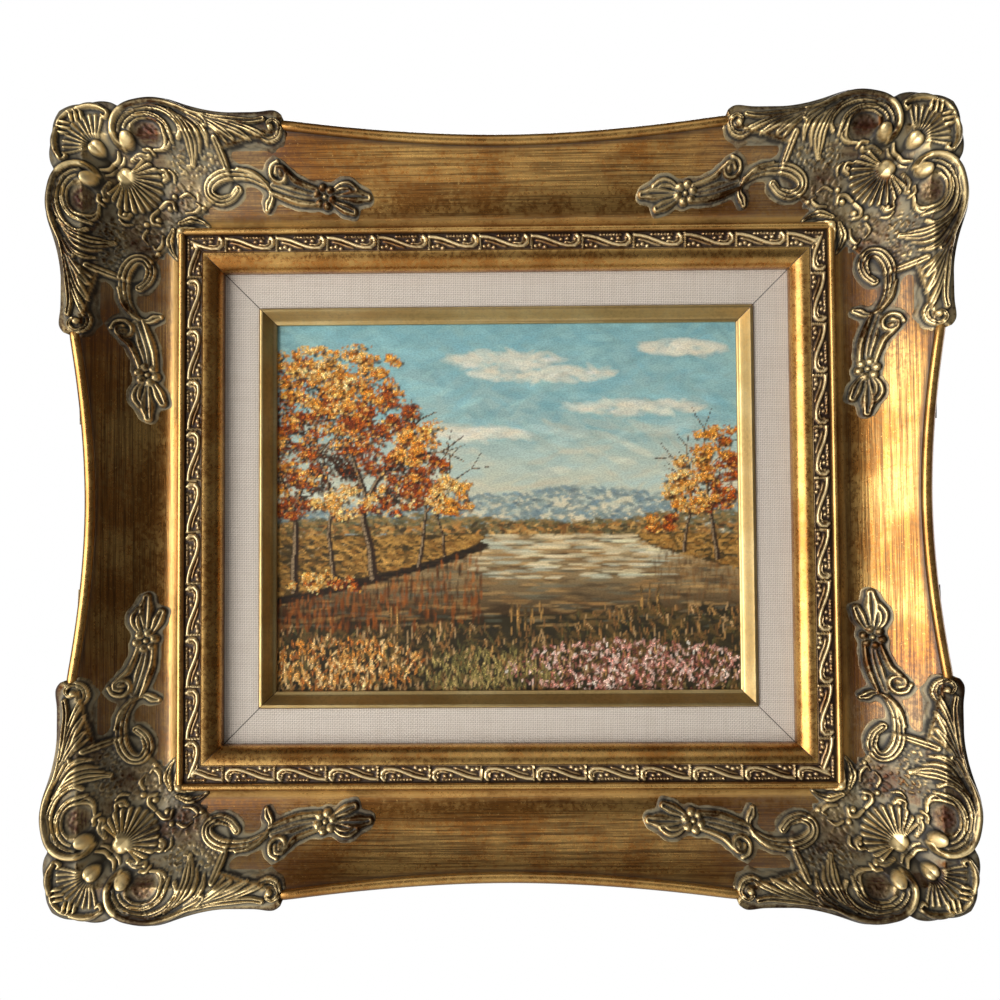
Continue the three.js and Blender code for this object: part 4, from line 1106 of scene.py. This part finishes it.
# Crests are mixed towards Bright as painted highlight, partly rubbed gold.
rubbed_gold_and_highlight = calc(gilding, "MULTIPLY", given["Crest"], ease(gilding, patches, 0.5, 0.85, 0.45, 1.0))
colour = mix(gilding, rubbed_gold_and_highlight, colour, given["Bright"])
gilding.links.new(colour, result["Color"])
dull = calc(gilding, "ADD", calc(gilding, "MULTIPLY", wash, 0.75), calc(gilding, "MULTIPLY", clay, 0.3))
dull = calc(gilding, "MULTIPLY", calc(gilding, "ADD", dull, calc(gilding, "MULTIPLY", groove_shade_and_joint, 0.5)), calc(gilding, "SUBTRACT", 1.0, rubbed_gold_and_highlight), clamp=True)
# Painted highlights are made less metallic, so that they stay bright from every side.
dull_and_highlight = calc(gilding, "ADD", dull, calc(gilding, "MULTIPLY", rubbed_gold_and_highlight, 0.4))
gilding.links.new(calc(gilding, "SUBTRACT", 0.95, dull_and_highlight, clamp=True), result["Metal"])
rough = calc(gilding, "ADD", calc(gilding, "MULTIPLY", dull, 0.3), calc(gilding, "ADD", calc(gilding, "MULTIPLY", streak, 0.12), calc(gilding, "MULTIPLY", speck, 0.1)))
gilding.links.new(calc(gilding, "ADD", rough, given["Polish"], clamp=True), result["Roughness"])
gilding.links.new(calc(gilding, "SUBTRACT", calc(gilding, "MULTIPLY", fine, 0.5), calc(gilding, "MULTIPLY", streak, 0.4)), result["Height"])
print("old_gilding has", len(gilding.nodes), "nodes")

# %% [markdown]
# ### Wood
#
# The stretcher is plain pine and the rails are bare behind. Wood grain is a set of rings
# cut lengthwise: bands across the bar, pulled out long along it and bent by noise.

# %% Wood group
wood, given, result = open_group(
    "plain_wood",
    [("Lay", "Vector", None), ("Light", "Color", tone(222, 190, 140)), ("Dark", "Color", tone(178, 132, 80))],
    [("Color", "Color"), ("Roughness", "Float"), ("Height", "Float")],
)
bend = noise(wood, stretched(wood, given["Lay"], (7, 60, 60)), 1.0, 2.0, 0.5)
rings = put(wood, "TexWave", stretched(wood, given["Lay"], (5, 150, 150)), 1.0, 7.0, 3.0, 1.2, 0.6, bands_direction="Y", out=1)
pores = noise(wood, stretched(wood, given["Lay"], (60, 2200, 2200)), 1.0, 3.0, 0.6)
figure = calc(wood, "ADD", calc(wood, "MULTIPLY", rings, 0.5), calc(wood, "MULTIPLY", bend, 0.5))
colour = mix(wood, ease(wood, figure, 0.25, 0.75), given["Light"], given["Dark"])
colour = mix(wood, ease(wood, pores, 0.56, 0.72, 0.0, 0.45), colour, given["Dark"])
wood.links.new(colour, result["Color"])
wood.links.new(ease(wood, pores, 0.3, 0.7, 0.62, 0.78), result["Roughness"])
wood.links.new(calc(wood, "SUBTRACT", 1.0, pores), result["Height"])
print("plain_wood has", len(wood.nodes), "nodes")

# %% [markdown]
# ### Cloth
#
# Linen and canvas are plain weaves. Each small square shows either the thread that runs
# along or the one that runs across, in turns, like a chessboard. Thick places in the
# threads, called slubs, are noise drawn out along each direction.

# %% Weave group
weave, given, result = open_group(
    "plain_weave",
    [("Lay", "Vector", None), ("Threads", "Float", 1300.0)],
    [("Tone", "Float"), ("Slub", "Float"), ("Height", "Float")],
)
scaled = put(weave, "VectorMath", given["Lay"], None, None, given["Threads"], operation="SCALE")
parts = weave.nodes.new("ShaderNodeSeparateXYZ")
weave.links.new(scaled, parts.inputs[0])
round_one = calc(weave, "ABSOLUTE", calc(weave, "SINE", calc(weave, "MULTIPLY", parts.outputs[0], math.pi)))
round_two = calc(weave, "ABSOLUTE", calc(weave, "SINE", calc(weave, "MULTIPLY", parts.outputs[1], math.pi)))
square = calc(weave, "MODULO", calc(weave, "ADD", calc(weave, "FLOOR", parts.outputs[0]), calc(weave, "FLOOR", parts.outputs[1])), 2.0)
square = calc(weave, "ABSOLUTE", square)
threads = put(weave, "Mix", square, None, round_one, round_two, data_type="FLOAT")
slub_one = noise(weave, stretched(weave, scaled, (0.035, 0.9, 1)), 1.0, 3.0, 0.65)
slub_two = noise(weave, stretched(weave, scaled, (0.9, 0.03, 1)), 1.0, 3.0, 0.65)
slubs = put(weave, "Mix", square, None, slub_one, slub_two, data_type="FLOAT")
gaps = calc(weave, "MAXIMUM", round_one, round_two)
# Tone is darkest in the gaps between threads and along the sides of each round thread: painted shade.
weave.links.new(calc(weave, "MULTIPLY", ease(weave, gaps, 0.25, 0.75), ease(weave, threads, 0.0, 0.7, 0.75, 1.0)), result["Tone"])
weave.links.new(ease(weave, slubs, 0.42, 0.7), result["Slub"])
weave.links.new(calc(weave, "ADD", calc(weave, "MULTIPLY", threads, 0.7), calc(weave, "MULTIPLY", slubs, 0.6)), result["Height"])
print("plain_weave has", len(weave.nodes), "nodes")

# %% [markdown]
# ### The finishes themselves
#
# The rails are streaked along their length. Their back is bare wood, chosen by a value
# stored on the points. The castings have no streaks but a wash in every hollow. On all of
# them, values stored on the points paint highlights on the crests and shade in the grooves.

# %% Gilt finishes
stored = lambda tree, key: put(tree, "Attribute", out=2, attribute_name=key)
mitre_line = lambda tree, wide: ease(tree, stored(tree, "mitre"), wide, 0.3 * wide)

gilt, tree, shader = new_material("rubbed_gilt")
place, lay = put(tree, "TexCoord", out=3), put(tree, "UVMap", uv_map="lay")
# crest paints highlights and groove paints shade; the dark colour serves the glaze and the painted shade.
coat = use_group(tree, gilding, Place=place, Lay=lay, Streaks=calc(tree, "MULTIPLY", stored(tree, "streak"), 0.7), Crest=stored(tree, "crest"), Groove=stored(tree, "groove"), Wash_Share=calc(tree, "MULTIPLY", stored(tree, "wash"), 0.3), Clay_Share=calc(tree, "MULTIPLY", stored(tree, "clay"), 0.8), Mitre=mitre_line(tree, 0.5), Gold=tone(162, 106, 42), Bright=tone(230, 184, 106), Glaze=tone(34, 16, 3), Wash=tone(112, 104, 80), Clay=tone(92, 42, 13))
bare = use_group(tree, wood, Lay=lay, Light=tone(150, 112, 74), Dark=tone(104, 74, 46))
behind = stored(tree, "bare")
blend_number = lambda a, b: put(tree, "Mix", behind, None, a, b, data_type="FLOAT")  # for the material in hand
wire(tree, shader, mix(tree, behind, coat["Color"], bare["Color"]), blend_number(coat["Roughness"], bare["Roughness"]), blend_number(coat["Metal"], 0.0), coat["Height"], 0.00010)
shader.inputs["Coat Weight"].default_value, shader.inputs["Coat Roughness"].default_value = 0.25, 0.3

band_gilt, tree, shader = new_material("band_gilt")
place, lay = put(tree, "TexCoord", out=3), put(tree, "UVMap", uv_map="lay")
# crest paints the ornament's tops as highlight and groove paints its ground as shade.
coat = use_group(tree, gilding, Place=place, Lay=lay, Streaks=0.0, Crest=stored(tree, "crest"), Groove=stored(tree, "groove"), Wash_Share=0.0, Clay_Share=0.25, Mitre=mitre_line(tree, 0.5), Gold=tone(128, 92, 48), Bright=tone(238, 212, 158), Glaze=tone(32, 16, 12), Polish=0.3)
wire(tree, shader, coat["Color"], coat["Roughness"], coat["Metal"], coat["Height"], 0.00006)

cast, tree, shader = new_material("washed_gilt")
place = put(tree, "TexCoord", out=3)
hollow = stored(tree, "hollow")
worn = calc(tree, "MULTIPLY", ease(tree, noise(tree, place, 62.0, 4.0, 0.62), 0.50, 0.60, 0.0, 0.9), hollow)
worn = calc(tree, "MAXIMUM", worn, stored(tree, "clay"), clamp=True)
washed = calc(tree, "MULTIPLY", hollow, calc(tree, "SUBTRACT", 1.0, calc(tree, "MULTIPLY", worn, 0.85)))
# crest paints the strokes' tops and the bosses bright as highlights; groove paints the recesses near-black as shade
# over patina.
coat = use_group(tree, gilding, Place=place, Lay=place, Streaks=0.0, Crest=stored(tree, "crest"), Groove=stored(tree, "groove"), Wash_Share=washed, Clay_Share=worn, Mitre=0.0, Gold=tone(70, 42, 17), Bright=tone(255, 226, 164), Glaze=tone(12, 7, 4), Clay=tone(70, 33, 20), Wash=tone(128, 119, 96), Polish=0.34)
wire(tree, shader, coat["Color"], coat["Roughness"], coat["Metal"], coat["Height"], 0.00014)

slip_gilt, tree, shader = new_material("pale_gilt")
place, lay = put(tree, "TexCoord", out=3), put(tree, "UVMap", uv_map="lay")
coat = use_group(tree, gilding, Place=place, Lay=lay, Streaks=0.12, Crest=0.0, Groove=0.0, Wash_Share=0.0, Clay_Share=0.0, Mitre=mitre_line(tree, 0.5), Gold=tone(188, 158, 102), Bright=tone(214, 190, 136), Glaze=tone(92, 68, 36), Polish=0.34)
bare = use_group(tree, wood, Lay=lay, Light=tone(190, 152, 104), Dark=tone(150, 112, 72))
behind = ease(tree, stored(tree, "bare"), 0.6, 1.0)
wire(tree, shader, mix(tree, behind, coat["Color"], bare["Color"]), blend_number(coat["Roughness"], bare["Roughness"]), blend_number(coat["Metal"], 0.0), coat["Height"], 0.00003)
print("four gilt finishes")

# %% Cloth and paint finishes
linen, tree, shader = new_material("linen")
lay = put(tree, "UVMap", uv_map="lay")
cloth = use_group(tree, weave, Lay=lay, Threads=1040.0)
# The darker colour goes where the weave's Tone puts painted shade, in the gaps and on the thread sides.
colour = mix(tree, cloth["Tone"], tone(104, 92, 78), tone(220, 208, 194))
colour = mix(tree, calc(tree, "MULTIPLY", cloth["Slub"], 0.4), colour, tone(176, 160, 142))
colour = mix(tree, mitre_line(tree, 0.5), colour, tone(60, 50, 40))
wire(tree, shader, colour, 0.85, 0.0, cloth["Height"], 0.00022)
shader.inputs["Sheen Weight"].default_value = 0.15

painted, tree, shader = new_material("painted_canvas")
lay = put(tree, "UVMap", uv_map="lay")
cloth = use_group(tree, weave, Lay=lay, Threads=2000.0)
stroke_node = tree.nodes.new("ShaderNodeAttribute")
stroke_node.attribute_name = "paint"
laid = ease(tree, stroke_node.outputs["Alpha"], 0.02, 0.1)
bristle = noise(tree, stretched(tree, lay, (900, 1400, 1)), 1.0, 3.0, 0.7)
brushed = mix(tree, ease(tree, bristle, 0.35, 0.7, 0.0, 0.3), stroke_node.outputs["Color"], tone(40, 34, 26))
# The paint is darkened in the weave's gaps as painted shade.
brushed = mix(tree, ease(tree, cloth["Tone"], 0.0, 1.0, 0.14, 0.0), brushed, tone(60, 50, 40))
cells = tree.nodes.new("ShaderNodeTexVoronoi")
cells.inputs["Scale"].default_value = 1250.0
tree.links.new(lay, cells.inputs["Vector"])
luck = put(tree, "SeparateColor", cells.outputs["Color"])
thick = ease(tree, stroke_node.outputs["Alpha"], 0.6, 0.85)
touch = calc(tree, "MULTIPLY", ease(tree, cells.outputs["Distance"], 0.42, 0.3), thick)
times = lambda amount: put(tree, "VectorMath", stroke_node.outputs["Color"], None, None, amount, operation="SCALE")
brushed = mix(tree, calc(tree, "MULTIPLY", touch, ease(tree, luck, 0.64, 0.66, 0.0, 0.85)), brushed, times(2.3))
brushed = mix(tree, calc(tree, "MULTIPLY", touch, ease(tree, luck, 0.33, 0.31, 0.0, 0.85)), brushed, times(0.22))
# Bare canvas darkens with the weave's Tone, as painted shade in its gaps.
raw = mix(tree, cloth["Tone"], tone(150, 134, 108), tone(198, 184, 156))
relief = calc(tree, "ADD", calc(tree, "MULTIPLY", cloth["Height"], 0.4), calc(tree, "MULTIPLY", calc(tree, "MULTIPLY", stroke_node.outputs["Alpha"], bristle), 1.2))
wire(tree, shader, mix(tree, laid, raw, brushed), ease(tree, stroke_node.outputs["Alpha"], 0.0, 0.6, 0.8, 0.5), 0.0, relief, 0.00025)
shader.inputs["Specular IOR Level"].default_value = 0.2
print("linen and painted canvas")

# %% Pine, zinc and where each finish goes
def pine_finish(name, quarter_turn):
    """Pine whose grain runs along X, or along Z after a quarter turn."""
    material, tree, shader = new_material(name)
    place = put(tree, "TexCoord", out=3)
    place = put(tree, "Mapping", place, None, (0, math.pi / 2 if quarter_turn else 0, 0))
    bar = use_group(tree, wood, Lay=place)
    wire(tree, shader, bar["Color"], bar["Roughness"], 0.0, bar["Height"], 0.00008)
    return material


pine_level, pine_upright = pine_finish("pine_level", False), pine_finish("pine_upright", True)
zinc, tree, shader = new_material("zinc_plate")
place = put(tree, "TexCoord", out=3)
cloudy = noise(tree, place, 900.0, 4.0, 0.65)
wire(tree, shader, mix(tree, ease(tree, cloudy, 0.35, 0.7), tone(122, 124, 127), tone(94, 96, 100)), ease(tree, cloudy, 0.3, 0.7, 0.42, 0.6), 0.95, cloudy, 0.00003)

finish_of = {"corner_ornament": cast, "frame_rail": gilt, "ornament_band": band_gilt, "liner_cloth": linen, "slip_moulding": slip_gilt, "canvas_cloth": painted, "hanger": zinc}
for thing in list(bpy.context.scene.objects):
    if thing.type != "MESH":
        continue
    chosen = next((m for key, m in finish_of.items() if thing.name.startswith(key)), None)
    if thing.name.startswith("stretcher"):
        chosen = pine_level if thing.name.endswith(("top", "bottom")) else pine_upright
    if chosen:
        thing.data.materials.clear()
        thing.data.materials.append(chosen)
print("finishes placed")

# %% [markdown]
# ## Floor and light
#
# A pale floor lies a little below the hanging frame. The light is soft and comes mostly
# from the left and slightly below the picture, so the left rail's scoop stays dark and
# the right one shines.


# %% The floor, the lights and the end
def softbox(name, location, size, power, aim=(0, 0, middle_up * 0.001)):
    data = bpy.data.lights.new(name, "AREA")
    data.shape, data.size, data.energy = "DISK", size, power
    lamp = bpy.data.objects.new(name, data)
    bpy.context.scene.collection.objects.link(lamp)
    lamp.location = location
    lamp.rotation_euler = (Vector(aim) - Vector(location)).to_track_quat("-Z", "Y").to_euler()
    return lamp


softbox("window", (-1.6, -1.3, -0.38), 2.1, 66)
softbox("low_fill", (-0.3, -0.9, -0.85), 0.9, 1.0)
softbox("top_fill", (0.1, -1.4, 1.0), 1.2, 2.8)
softbox("right_fill", (1.6, -1.4, 0.2), 1.0, 0.3)
softbox("behind", (0.0, 1.7, 1.0), 1.4, 34)
softbox("flank", (1.9, 0.7, 0.1), 1.2, 16)

world = bpy.data.worlds.new("studio")
bpy.context.scene.world = world
world.use_nodes = True
sky = world.node_tree
background = sky.nodes["Background"]
background.inputs["Color"].default_value = (1, 1, 1, 1)
seen = put(sky, "LightPath")
sky.links.new(put(sky, "MapRange", seen, 0.0, 1.0, 0.05, 1.0), background.inputs["Strength"])
bpy.context.scene.view_settings.view_transform = "Standard"

ring = np.linspace(0, 2 * np.pi, 97)[:-1]
radius = np.array([0.0, 0.4, 0.8, 1.15])[:, None]
floor_points = np.stack([radius * np.cos(ring), radius * np.sin(ring), 0 * radius * ring - 1.0], -1)
floor_faces = grid_faces(4, 96, closed=True)
floor_mesh = bpy.data.meshes.new("floor")
floor_mesh.from_pydata(floor_points.reshape(-1, 3).tolist(), [], floor_faces.tolist())
floor = bpy.data.objects.new("floor", floor_mesh)
bpy.context.scene.collection.objects.link(floor)
floor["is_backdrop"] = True
pale, tree, shader = new_material("pale_floor")
wire(tree, shader, tone(244, 243, 240), 0.9, 0.0)
floor.data.materials.append(pale)

# %% Measure and finish
dressed_box = [[float(v) for v in corner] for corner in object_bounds()]
for name, box in (("solids", solid_box), ("dressed", dressed_box)):
    print(name, [round(b - a, 4) for a, b in zip(*box)])
